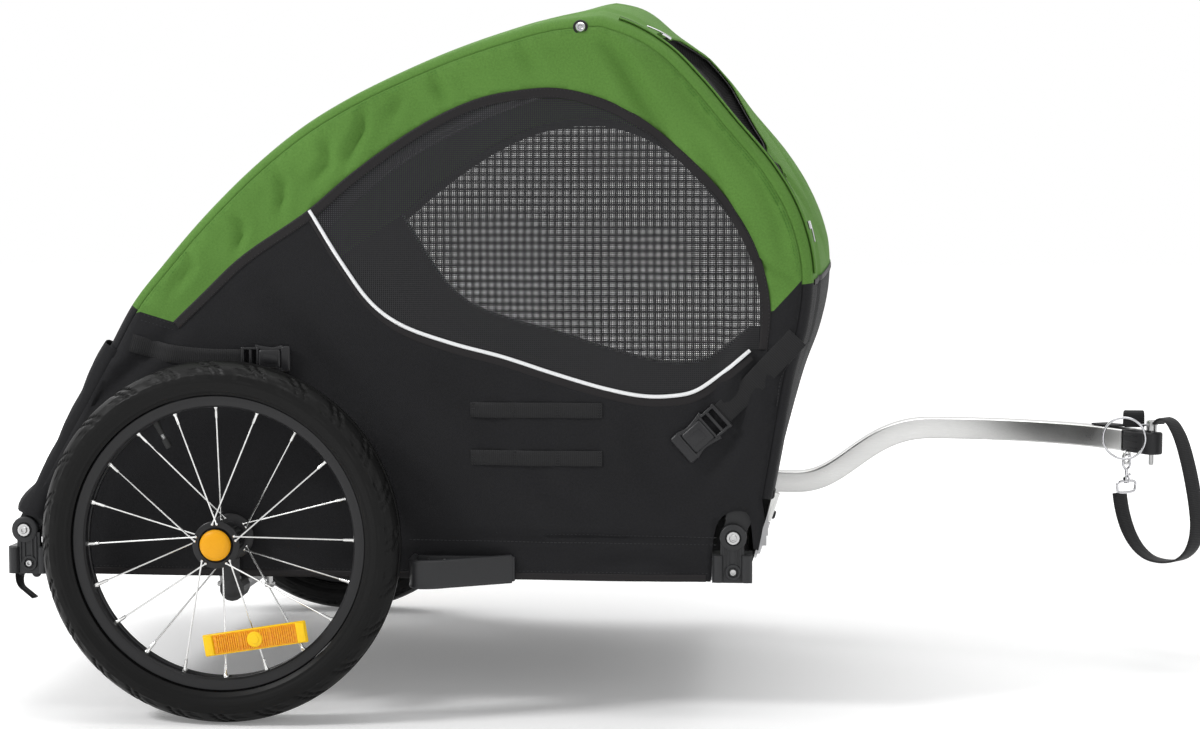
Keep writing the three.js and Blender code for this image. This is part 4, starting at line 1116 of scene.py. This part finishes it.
points_, faces_, uvs_ = grid(canopy_points, np.stack([grid_y, grid_s], -1) * MM)
middle_s = ((grid_s[:-1, :-1] + grid_s[1:, 1:]) / 2).ravel()
middle_y = ((grid_y[:-1, :-1] + grid_y[1:, 1:]) / 2).ravel()
is_green = (middle_s > GREEN_START) & (middle_s < front_seam(middle_y))
is_gap = gap_depth(middle_s, middle_y) > 0
canopy = Shape("canopy")
for chosen, finish in ((is_green & ~is_gap, GREEN), (~is_green & ~is_gap, BLACK), (is_gap, INNER_MESH)):
    index = np.nonzero(chosen)[0]
    canopy.add((points_, [faces_[i] for i in index], [uvs_[i] for i in index]), finish)
cloth_sheet(canopy, "root", "green_cloth", "cover_top", "cover_front",
            flat=(0.60, round(EDGE_LENGTH * MM, 3)), rests_on=["rear_hoop_tube", "front_hoop_tube"])

# ---- cabin sides ------------------------------------------------------------------------------------
BINDING_LINE = catmull([(-64, 438), (-32, 468), (13, 510), (90, 562), (137, 601), (193, 641), (237, 666), (282, 684),
                        (325, 692), (364, 694), (413, 683), (456, 662), (500, 627), (538, 589), (570, 546), (589, 503),
                        (598, 454), (596, 410)], 8)
PIPING_LINE = catmull([(91, 562), (128, 502), (160, 459), (192, 436), (248, 416), (305, 401), (361, 383), (417, 367),
                       (459, 359), (489, 359), (515, 364), (543, 382), (576, 409)], 8)
FOLDS = [                       # (line, half width, depth) of each crease, in millimetres
    (((412, 757), (440, 714), (467, 670), (491, 633)), 9, -5.5),
    (((472, 725), (499, 700), (521, 671), (554, 636), (586, 597), (606, 554), (622, 488)), 8, -5.5),
    (((153, 683), (149, 650), (128, 612)), 6, -4.5), (((109, 645), (112, 615), (91, 590)), 6, -4.0),
    (((226, 710), (245, 682)), 7, -4.5), (((576, 513), (628, 484)), 5, -3.2),
    (((401, 766), (456, 748), (478, 735)), 5, -3.0), (((50, 610), (62, 590), (56, 556)), 5, -4.0),
    (((0, 560), (16, 545), (6, 515)), 5, -4.0), (((-50, 520), (-44, 500), (-70, 470)), 6, -4.0),
    (((320, 745), (345, 712)), 8, -3.0), (((196, 690), (180, 660)), 6, -2.5),
    (((520, 640), (556, 560), (572, 505)), 8, -2.5), (((-60, 430), (-120, 380), (-170, 330)), 9, -3.0),
    (((600, 470), (560, 330), (520, 250)), 12, -3.6), (((575, 470), (545, 400), (530, 330)), 9, -2.4),
    (((40, 470), (120, 360)), 16, -3.0), (((200, 400), (330, 250)), 22, -2.6), (((440, 340), (500, 220)), 16, -3.0),
    (((90, 300), (210, 190)), 18, -2.4), (((330, 260), (430, 180)), 14, -2.2),
    (((201, 204), (539, 200)), 3.2, -2.2), (((585, 395), (615, 300), (598, 250)), 5, -2.6),
    (((530, 160), (470, 176), (390, 170)), 7, -2.4), (((300, 172), (120, 178)), 8, -2.0),
]
# Where the cloth has to keep off hard parts: (x, z, reach).
BRACKET_CLEAR = ((559, 203, 34), (-239, 203, 40), (0, 199.5, 46), (0, 150, 34), (260, 166, 62), (220, 166, 40))


def edge_inset(s_, depth):
    point, tangent = edge_at(np.asarray(s_, float))
    return point + np.stack([tangent[..., 1], -tangent[..., 0]], -1) * depth


SEAM = edge_inset(np.linspace(0, EDGE_LENGTH, 260), WRAP)


def side_lift(points):
    """How far the side cloth stands out of its plane, in millimetres."""
    points = np.asarray(points, float)
    x, z = points[:, 0], points[:, 1]
    lift = 2.0 * np.sin(x / 97 + 0.6) * np.sin(z / 71 + 0.4) + 1.0 * np.sin(x / 37 + z / 53)
    for line, width, depth in FOLDS:
        d, t_ = distance_to(np.array(line, float), points)
        fade = np.sin(np.clip(t_, 0.02, 0.98) * math.pi) ** 0.5
        lift += 1.4 * depth * (np.exp(-(d / width) ** 2) - 0.4 * np.exp(-((d - 1.9 * width) / width) ** 2)) * fade
    d, _ = distance_to(SEAM, points)
    lift += 1.6 * np.exp(-((d - 11) / 7) ** 2)
    lift *= smoothstep(d / 16)
    for cx, cz, reach in BRACKET_CLEAR:
        away = np.hypot(x - cx, z - cz)
        lift = np.where(away < reach, np.minimum(lift, 0) * smoothstep(away / reach), lift)
    return np.clip(lift, -9, 6)


def side_points(line, s, lift=0.0):
    line = np.asarray(line, float)
    y = SIDE_Y + side_lift(line) + lift
    return np.stack([line[:, 0], s * y, line[:, 1]], 1)


GREEN_LINE = BINDING_LINE[(BINDING_LINE[:, 0] < 560) | (BINDING_LINE[:, 1] > 443)]
GREEN_ENDS = [np.vstack([GREEN_LINE[end], edge_inset(s_, WRAP + 3.5)])
              for end, s_ in ((0, GREEN_START), (-1, front_seam(SIDE_Y)))]
GREEN_CORNERS = [end[1] + unit(end[1] - end[0]) * 9 for end in GREEN_ENDS]
GREEN_POLYGON = np.vstack([GREEN_CORNERS[1],
                           edge_inset(np.linspace(front_seam(SIDE_Y) - 8, GREEN_START + 8, 200), WRAP - 4),
                           GREEN_CORNERS[0], GREEN_LINE])
WINDOW_TOP = BINDING_LINE[BINDING_LINE[:, 0] > 86]
WINDOW_POLYGON = np.vstack([PIPING_LINE, WINDOW_TOP[::-1]])
OUTLINE = np.vstack([[(-208, 154), (535.5, 154), (535.5, 178), (537, 201), (541, 219), (549, 229), (560, 232.5),
                      (572, 233), (577, 228), (579.5, 210), (581.5, 190), (586.5, 189), (590, 206), (593.5, 226)],
                     SEAM[::-1], [(-226, 236), (-208, 226)]])


def side_mesh():
    """The cloth side, its boundary and its seams followed by the mesh's own edges."""
    outline = resample(np.vstack([OUTLINE, OUTLINE[:1]]), 7)[:-1]
    lines = [resample(BINDING_LINE, 7), resample(PIPING_LINE, 7)] + [resample(end, 6)[1:] for end in GREEN_ENDS]
    points, edges = [tuple(p) for p in outline], [(i, (i + 1) % len(outline)) for i in range(len(outline))]
    for line in lines:
        first = len(points)
        points += [tuple(p) for p in line]
        edges += [(first + i, first + i + 1) for i in range(len(line) - 1)]
    xs, zs = np.meshgrid(np.arange(-240, 660, 6.5), np.arange(156, 780, 6.5), indexing="ij")
    xs = xs + (np.arange(xs.shape[1]) % 2)[None, :] * 3.2
    free = np.stack([xs.ravel(), zs.ravel()], 1)
    free = free[inside(outline, free)]
    for line in lines + [np.vstack([outline, outline[:1]])]:
        free = free[distance_to(line, free)[0] > 3.4]
    points += [tuple(p) for p in free]
    found = delaunay_2d_cdt([Vector(p) for p in points], edges, [], 0, 1e-4)
    flat = np.array([v[:] for v in found[0]])
    triangles = np.array([f[:] for f in found[2]])
    middle = flat[triangles].mean(axis=1)
    hole = np.hypot(middle[:, 0], middle[:, 1] - AXLE_Z) < 15
    kept = inside(outline, middle) & ~hole
    return flat, triangles[kept], middle[kept]


def polygon_area(polygon):
    x, z = np.transpose(polygon)
    return 0.5 * abs(np.dot(x, np.roll(z, 1)) - np.dot(z, np.roll(x, 1)))


side_flat, side_faces, side_middle = side_mesh()
in_green = inside(GREEN_POLYGON, side_middle)
in_window = inside(WINDOW_POLYGON, side_middle) & ~in_green
window_area = polygon_area(WINDOW_POLYGON)
panel_area = polygon_area(OUTLINE) - window_area


def side_part(s, chosen):
    points = side_points(side_flat, s)
    faces = [tuple(int(v) for v in face) for face in side_faces[chosen]]
    return points, faces, [[tuple(side_flat[v] * MM) for v in face] for face in faces]


def only_used(part):
    """The part without points that no face uses."""
    points, faces, uvs = part
    used = sorted({v for face in faces for v in face})
    place = {v: i for i, v in enumerate(used)}
    return points[used], [tuple(place[v] for v in face) for face in faces], uvs


def stitches(shape, line, s, pitch=4.4, length=3.0, width=0.4, lift=0.6, finish=THREAD_BLACK):
    """A row of separate stitches lying on the side cloth along a line."""
    dots = resample(line, pitch)
    half = heading(dots) * length / 2
    ends = [side_points(dots + off, s, lift * 0.2) for off in (-half, half)]
    for a, middle, b in zip(ends[0], side_points(dots, s, lift), ends[1]):
        shape.add(sweep([a, middle, b], diamond(width), (0, s, 0)), finish)


def strip(shape, line, s, width, thickness, lift, finish=BINDING):
    """A flat band sewn on the side cloth along a line."""
    shape.add(sweep(side_points(line, s, lift), flat_section(width, thickness), (0, s, 0)), finish)


def webbing_patch(shape, s, x0, x1, z0, z1):
    """A sewn webbing loop: flat at its stitched ends, standing a little off between them."""
    x = np.linspace(x0, x1, 30)
    base = side_points(np.stack([x, np.full(len(x), (z0 + z1) / 2)], 1), s, 1.0)
    base[:, 1] += s * 1.6 * np.abs(np.sin((x - x0) / (x1 - x0) * 3 * math.pi)) ** 0.8
    shape.add(sweep(base, flat_section(z1 - z0, 1.6), (0, s, 0)), WEBBING)
    for x_bar in (x0 + 3, x0 + (x1 - x0) / 3, x0 + (x1 - x0) * 2 / 3, x1 - 3):
        for dx in (-1.1, 1.1):
            bar_tack = np.array([(x_bar + dx, z0 + 1.5), (x_bar + dx, z1 - 1.5)])
            stitches(shape, bar_tack, s, 3.0, 2.4, lift=2.4)


def buckle_parts(shape, s, centre, angle, length, width, base):
    """A side-release buckle lying on the cloth: socket, two side arms and the ladder with its bar."""
    place = Matrix.Translation((centre[0], 0, centre[1])) @ Matrix.Rotation(-angle, 4, "Y")

    def put(part):
        shape.add(moved(mirrored(part, s), place), BUCKLE)

    h, w = length / 2, width / 2
    put(block(-h * 0.62, h * 0.28, base, base + 8.6, -w * 0.74, w * 0.74, 3.2, 4))
    put(block(-h, -h * 0.6, base + 0.4, base + 7.4, -w, w, 2.8, 4))
    for end in (-1, 1):
        arm = catmull([(-h * 0.7, 0, end * w * 0.9), (-h * 0.3, 0, end * w * 0.72), (h * 0.1, 0, end * w * 0.8),
                       (h * 0.42, 0, end * w * 0.92)], 6) + (0, base + 4, 0)
        put(sweep(arm, rounded_square(5, 1.6), (0, 1, 0)))
    put(block(h * 0.26, h * 0.36, base + 1, base + 7.6, -w * 0.9, w * 0.9, 1.2, 3))
    put(block(h * 0.55, h * 0.67, base + 2.4, base + 6.4, -w * 0.8, w * 0.8, 1.2, 3))
    put(block(h * 0.86, h, base + 0.6, base + 6.8, -w * 0.92, w * 0.92, 1.5, 3))
    for middle in (-w * 0.78, w * 0.78):
        put(block(h * 0.26, h, base + 0.8, base + 6.6, middle - 1.6, middle + 1.6, 1.2, 3))
    put(block(-h * 0.5, h * 0.05, base + 8.2, base + 9.2, -w * 0.34, w * 0.34, 0.8, 2))


SNAP_STUD = [(0, 1.4), (2.0, 1.5), (2.8, 2.6), (4.2, 2.7), (5.4, 1.6), (6.0, 0.2), (6.0, -1.2), (0, -1.2)]
SNAP_RING = [(5.8, 1.0), (7.4, 0.9), (8.2, 0.0), (8.2, -1.4), (5.8, -1.4)]


def side_trim(side, s):
    """Binding, piping, seams, webbing and the snap stud of one side."""
    trim = Shape(f"side_trim_{side}")
    middle = resample(BINDING_LINE, 6)
    along = heading(middle)
    inward = np.stack([along[:, 1], -along[:, 0]], 1)
    strip(trim, middle + inward * 4.6, s, 10.5, 1.8, 0.9)
    for off in (1.2, 8.4):
        stitches(trim, middle + inward * off, s, length=3.1, lift=2.1)
    trim.add(tube(side_points(resample(PIPING_LINE, 5), s, 1.1), 2.1, 10, (0, s, 0)), PIPING)
    strip(trim, resample(PIPING_LINE, 6) + (1.5, -6.5), s, 9, 1.2, 0.5)
    for depth in (2.0, 5.0):
        seam = edge_inset(np.linspace(70, u_front(0.60), 400), WRAP + depth)
        stitches(trim, seam, s, width=0.42, finish=THREAD_GREEN)
    for line in ([(-205, 163), (530, 163)], [(201, 207), (539, 203)], [(201, 197), (539, 195)]):
        stitches(trim, np.array(line, float), s)
    strip(trim, np.array([(x, 157.5) for x in np.linspace(-205, 529, 90)]), s, 8, 2.0, 0.2)
    for z0, z1 in ((334, 351), (281, 298)):
        webbing_patch(trim, s, 269, 415, z0, z1)
    strip(trim, catmull([(-112, 415), (-73, 404), (-30, 399), (16, 398)], 8), s, 20, 1.8, 1.6, WEBBING)
    strip(trim, catmull([(628, 424), (598, 392), (570, 362), (546, 340)], 8), s, 25, 1.8, 1.8, WEBBING)
    stitches(trim, catmull([(640, 420), (612, 384), (606, 350)], 8), s, 4.0, lift=1.4)
    for line in ([(-100, 440), (-66, 430)], [(-97, 446), (-66, 436)]):
        stitches(trim, np.array(line, float), s, lift=0.7)
    trim.add(turned_out(SNAP_STUD, 391, 760, s, y=s * 291.0), CHROME)
    return trim.add(turned_out(SNAP_RING, 391, 760, s, closed=True, y=s * 290.4), BINDING)


for side, s in SIDES:
    panel = Shape(f"side_cloth_{side}")
    for chosen, finish in ((in_green, GREEN), (~in_green & ~in_window, BLACK)):
        panel.add(only_used(side_part(s, chosen)), finish)
    cloth_sheet(panel, "root", "side_cloth", f"cover_side_{side}", offset=0, flat=(0.86, 0.62),
                rests_on=["rear_hoop_tube", "front_hoop_tube"], area=round(panel_area * 1e-6, 4))
    window = sewn(Shape(f"side_window_{side}").add(only_used(side_part(s, in_window)), WINDOW), "side_cloth", sharp=60)
    sewn(side_trim(side, s), "webbing")

    rear_buckle = Shape(f"rear_buckle_{side}")
    buckle_parts(rear_buckle, s, (41, 398), math.pi, 56, 29, SIDE_Y + 1.2)
    sewn(rear_buckle, "buckle", f"buckle_rear_{side}")
    front_buckle = Shape(f"front_buckle_{side}")
    buckle_parts(front_buckle, s, (524, 319), math.radians(42), 62, 36, SIDE_Y + 1.8)
    sewn(front_buckle, "buckle")

# ---- front door: hems, zip and pulls; the open corner shows the lining ------------------------------
def canopy_up(s_, y):
    """Outward direction of the canopy along a line."""
    return canopy_point(s_, y, 2.0) - canopy_point(s_, y) + 1e-9


door = Shape("front_door_trim")


def hem(s_, y, lift, width, thickness, finish=BINDING):
    """A flat band lying on the canopy along a line."""
    door.add(sweep(canopy_point(s_, y, lift), flat_section(width, thickness), canopy_up(s_, y)), finish)


s_ = np.linspace(u_front(0.03), u_front(0.60), 150)
for y_side in (-1, 1):
    hem(s_, y_side * 278.0, 1.6, 7, 2.6, GREEN)
    hem(s_, y_side * (272 + 2 * np.sin(s_ / 40)), 0.9, 5, 1.2)
s_ = ROOF_LENGTH + FRONT_LENGTH * np.interp(np.linspace(0, 1, 90), np.linspace(0, 1, len(GAP_U)), GAP_U)
hem(s_, gap_right(s_) + 2, 2.0, 9, 2.6, GREEN)
hem(s_, gap_right(s_) - 4, 0.2, 5, 1.4)
hem(s_, GAP_LEFT + 2, 0.2, 5, 1.4)
for k in range(len(s_) - 1):
    tooth = canopy_point(s_[k:k + 2], GAP_LEFT + 5.2, 0.8)
    door.add(rod(tooth[0], tooth[0] + (tooth[1] - tooth[0]) * 0.55, 1.1, 6, 0.2), BUCKLE)


def zip_pull(u0, y0, u1, y1):
    """A slider with a flat steel tab lying along the door's edge."""
    s_line, y_line = np.linspace(u_front(u0), u_front(u1), 9), np.linspace(y0, y1, 9)
    up = canopy_up(s_line, y_line)
    slider = rounded_square(5.5, 1.4) * (1.2, 0.7)
    door.add(sweep(canopy_point(s_line[:4], y_line[:4], 3.8), slider, up[:4]), CHROME)
    door.add(sweep(canopy_point(s_line[3:], y_line[3:], 5.0), flat_section(5.2, 1.6), up[3:]), CHROME)


zip_pull(0.118, -258, 0.078, -274)
zip_pull(0.512, -270, 0.548, -273)
zip_pull(0.10, 270, 0.14, 268)
y = np.linspace(-266, 266, 140)
for offset, finish in ((-4, THREAD_GREEN), (4, THREAD_BLACK)):
    s_ = front_seam(y) + offset
    for k in range(len(y) - 1):
        a, b = canopy_point(s_[k:k + 2], y[k:k + 2], 0.5)
        door.add(sweep([a, a * 0.45 + b * 0.55, a * 0.2 + b * 0.8], diamond(0.4),
                       canopy_up(s_[k:k + 1], y[k:k + 1])[0]), finish)
y = np.linspace(-276, 276, 80)
hem(front_seam(y), y, 0.7, 6, 1.4)
hem(EDGE_LENGTH - 5.0, np.linspace(-276, 276, 60), 0.4, 10, 2.2)
hem(GREEN_START, np.linspace(-262, 262, 60), 0.5, 8, 1.6)
sewn(door, "front_cloth")

# The front's lower skirt runs from the canopy's hem down to the front crossbar, between the brackets.
skirt_profile = resample(catmull([(601, 250), (598, 235), (592, 212), (585, 190), (581, 172), (577, 158), (570, 150)]), 5)
skirt_y = np.linspace(-214, 214, 61)
skirt_s, skirt_w = np.meshgrid(np.arange(len(skirt_profile)), skirt_y, indexing="ij")
skirt = np.stack([skirt_profile[skirt_s, 0] + 2.5 * np.sin(skirt_w / 37) * np.sin(skirt_s / 6.0)
                  + 4.5 * (1 - (skirt_w / 290) ** 2) * (1 - skirt_s / len(skirt_profile)),
                  skirt_w, skirt_profile[skirt_s, 1]], -1)
cloth_sheet(Shape("front_skirt").add(grid(skirt, np.stack([skirt_w, skirt_s * 5.0], -1) * MM), BLACK),
            "root", "front_cloth", flat=(0.428, 0.11))

# ---- rear: sleeves round the hoop's legs and the tailgate ------------------------------------------
SLEEVE_EDGE = resample(catmull([(-233, 219), (-226, 238), (-204, 285), (-172, 347), (-143, 405), (-139, 412)]), 6)
SLEEVE_LENGTH = lengths(SLEEVE_EDGE)
SLEEVE_SECTION = [              # (distance from the middle plane, distance behind the edge, distance along the cloth)
    (290, -16, 0), (291, -6, 10), (290.2, 2, 18), (286.5, 6.5, 25), (279, 8.6, 33), (270, 9.4, 42), (261, 8.4, 51),
    (256.6, 4, 58), (255.4, -3, 65)]
sleeve_along = heading(SLEEVE_EDGE)
fullness = 1 + 1.2 * np.exp(-((SLEEVE_EDGE[:, 1] - 226) / 20) ** 2)
for side, s in SIDES:
    rows = []
    for y, behind, _ in SLEEVE_SECTION:
        reach = behind * (fullness if behind > 0 else 1)
        reach = reach + 0.9 * np.sin(SLEEVE_EDGE[:, 1] / 9 + y / 7) * (behind > 0)
        rows.append(np.stack([SLEEVE_EDGE[:, 0] - sleeve_along[:, 1] * reach, np.full(len(SLEEVE_EDGE), s * (y + 0.4)),
                              SLEEVE_EDGE[:, 1] + sleeve_along[:, 0] * reach], -1))
    across = np.array([section[2] for section in SLEEVE_SECTION], float)
    s_grid, w_grid = np.meshgrid(SLEEVE_LENGTH, across, indexing="ij")
    sleeve = Shape(f"rear_sleeve_{side}").add(grid(np.stack(rows, 1), np.stack([w_grid, s_grid], -1) * MM), BLACK)
    cloth_sheet(sleeve, "root", "side_cloth", sharp=70, flat=(0.065, round(float(SLEEVE_LENGTH[-1]) * MM, 3)),
                rests_on=["rear_hoop_tube"])

GATE_LOW = np.array((-251.5, 182.0))
GATE_HIGH = np.array((-144.6, 402.0))
GATE_AXIS = GATE_HIGH - GATE_LOW
GATE_NORMAL = np.array((-0.9, 0.437))
GATE_HALF = 254
GATE_UP = (GATE_NORMAL[0], 0, GATE_NORMAL[1])


def gate_point(t_, y_, lift=0.0):
    """A point of the tailgate, t_ from its hinge (0) to its top (1), swollen and slightly rippled."""
    t_, y_ = np.broadcast_arrays(np.asarray(t_, float), np.asarray(y_, float))
    belly = np.sin(t_ * math.pi)
    out = 3.5 * belly * (1 - (y_ / GATE_HALF) ** 2) + 1.3 * np.sin(y_ / 33 + 3 * t_) * belly + lift
    return np.stack([GATE_LOW[0] + GATE_AXIS[0] * t_ + GATE_NORMAL[0] * out, y_,
                     GATE_LOW[1] + GATE_AXIS[1] * t_ + GATE_NORMAL[1] * out], -1)


gate_t, gate_y = np.meshgrid(np.linspace(0, 1, 44), np.linspace(-GATE_HALF, GATE_HALF, 90), indexing="ij")
gate_points = gate_point(gate_t, gate_y, -2.0 * np.exp(-((gate_t - 0.78) / 0.02) ** 2))
gate = Shape("tailgate_cloth").add(grid(gate_points, np.stack([gate_y, gate_t * 244.6], -1) * MM), BLACK)
cloth_sheet(gate, "tailgate", "black_cloth", "tailgate", thickness=0.0014, offset=0, flat=(0.508, 0.245))

gate_trim = Shape("tailgate_trim")


def gate_band(t_, y_, lift, width, thickness, finish):
    gate_trim.add(sweep(gate_point(t_, y_, lift), flat_section(width, thickness), GATE_UP), finish)


for t0 in (0.025, 0.975):
    gate_band(t0, np.linspace(-252, 252, 60), 1.2, 11, 2.0, BINDING)
for y0 in (-248, 248):
    gate_band(np.linspace(0.02, 0.98, 40), y0, 1.2, 11, 2.0, BINDING)
for t0 in (0.86, 0.885):
    for y0 in np.arange(-238, 238, 4.4):
        gate_trim.add(sweep(gate_point(t0, np.array([y0, y0 + 3.1]), 1.0), diamond(0.45), GATE_UP), THREAD_BLACK)
for y0 in (-165, 165):
    gate_band(np.linspace(0.12, 0.9, 24), y0, 1.6, 22, 1.8, WEBBING)
handle = catmull([(-45, 0.5), (-42, 6), (-24, 12), (0, 13.5), (24, 12), (42, 6), (45, 0.5)], 8)
handle_path = gate_point(0.93, handle[:, 0], handle[:, 1] + 1.2)
handle_up = np.gradient(handle_path, axis=0)[:, ::-1] * (1, 0, -1) + GATE_UP
gate_trim.add(sweep(handle_path, flat_section(22, 2.0), handle_up), WEBBING)
crumples(piece(gate_trim, "tailgate", "black_cloth"))

# ---- floor: a thin padded mat, quilted across ---------------------------------------------------------
MAT_Z = 169
floor_low, floor_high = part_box("floor_panel")
fx0, fx1 = floor_low.x / MM - AXLE_X, floor_high.x / MM - AXLE_X
fy = floor_high.y / MM
mat_x, mat_y = np.meshgrid(np.linspace(fx0, fx1, 150), np.linspace(-fy, fy, 90), indexing="ij")
edge_distance = np.minimum(np.minimum(mat_x - fx0, fx1 - mat_x), np.minimum(mat_y + fy, fy - mat_y))
channel = np.minimum(np.abs((mat_x - fx0) % 155 - 77.5), 60)
swell = np.sqrt(np.clip(edge_distance / 14, 0, 1)) * (1 - 0.55 * np.exp(-(channel / 5) ** 2))
top = np.stack([mat_x, mat_y, MAT_Z + 5.2 * swell + 0.25 * np.sin(mat_x / 19) * np.sin(mat_y / 23)], -1)
low = np.stack([mat_x, mat_y, MAT_Z - 1.0 * np.sqrt(np.clip(edge_distance / 8, 0, 1))], -1)
mat_uv = np.stack([mat_x, mat_y], -1) * MM
mat = Shape("floor_mat").add(grid(top, mat_uv), PAD).add(grid(low, mat_uv), PAD)
piece(mat, "root", "floor_cloth", "floor_panel", sharp=70)

# ---- stage: pale floor that glows as painted light, weaker near the middle as painted shade, and soft light ---
floor_mesh = bpy.data.meshes.new("studio_floor")
floor_mesh.from_pydata([(-30, -30, 0), (30, -30, 0), (30, 30, 0), (-30, 30, 0)], [], [(0, 1, 2, 3)])
floor = bpy.data.objects.new("studio_floor", floor_mesh)
bpy.context.scene.collection.objects.link(floor)
floor_mat, _, floor_shader = material("studio_floor", (0.93, 0.93, 0.93), 0.9, Specular_IOR_Level=0.0)
floor_shader.inputs["Emission Color"].default_value = (1, 1, 1, 1)
floor_tree = floor_mat.node_tree
# The floor's glow is painted light: its emission is weak near the middle and strong far out, which paints shade on the
# floor round the trailer.
floor_place = node(floor_tree, "ShaderNodeTexCoord").outputs["Object"]
from_middle = node(floor_tree, "ShaderNodeVectorMath", {0: floor_place}, operation="LENGTH").outputs["Value"]
painted_floor_glow = node(floor_tree, "ShaderNodeMapRange", {0: from_middle, 1: 0.9, 2: 3.2, 3: 0.16, 4: 0.75},
            interpolation_type="SMOOTHSTEP").outputs[0]
floor_tree.links.new(painted_floor_glow, floor_shader.inputs["Emission Strength"])
floor_mesh.materials.append(floor_mat)
floor.location.z = -0.0005

world = bpy.data.worlds.new("studio")
bpy.context.scene.world = world
world.use_nodes = True
rays = node(world.node_tree, "ShaderNodeLightPath").outputs
mirrored_white = math_node(world.node_tree, "MULTIPLY", rays["Is Glossy Ray"], 0.9)
seen = math_node(world.node_tree, "MAXIMUM", rays["Is Camera Ray"], mirrored_white)
background = world.node_tree.nodes["Background"]
background.inputs["Color"].default_value = (1, 1, 1, 1)
world.node_tree.links.new(math_node(world.node_tree, "MAXIMUM", seen, 0.38), background.inputs["Strength"])


def area_light(name, place, target, size, power):
    data = bpy.data.lights.new(name, "AREA")
    data.shape = "RECTANGLE"
    data.size, data.size_y = size
    data.energy = power
    lamp = bpy.data.objects.new(name, data)
    lamp.location = place
    lamp.rotation_euler = (Vector(target) - Vector(place)).to_track_quat("-Z", "Y").to_euler()
    bpy.context.scene.collection.objects.link(lamp)


area_light("key", (-2.7, -1.7, 2.5), (0, -0.1, 0.4), (0.7, 0.6), 66)
area_light("fill", (2.2, -2.8, 1.8), (0.1, 0, 0.35), (1.6, 1.6), 16)
area_light("top", (0.2, 0.5, 3.3), (0, 0, 0.3), (3.2, 3.2), 80)
area_light("rim", (-2.2, 2.4, 2.2), (0, 0, 0.4), (1.8, 1.4), 26)
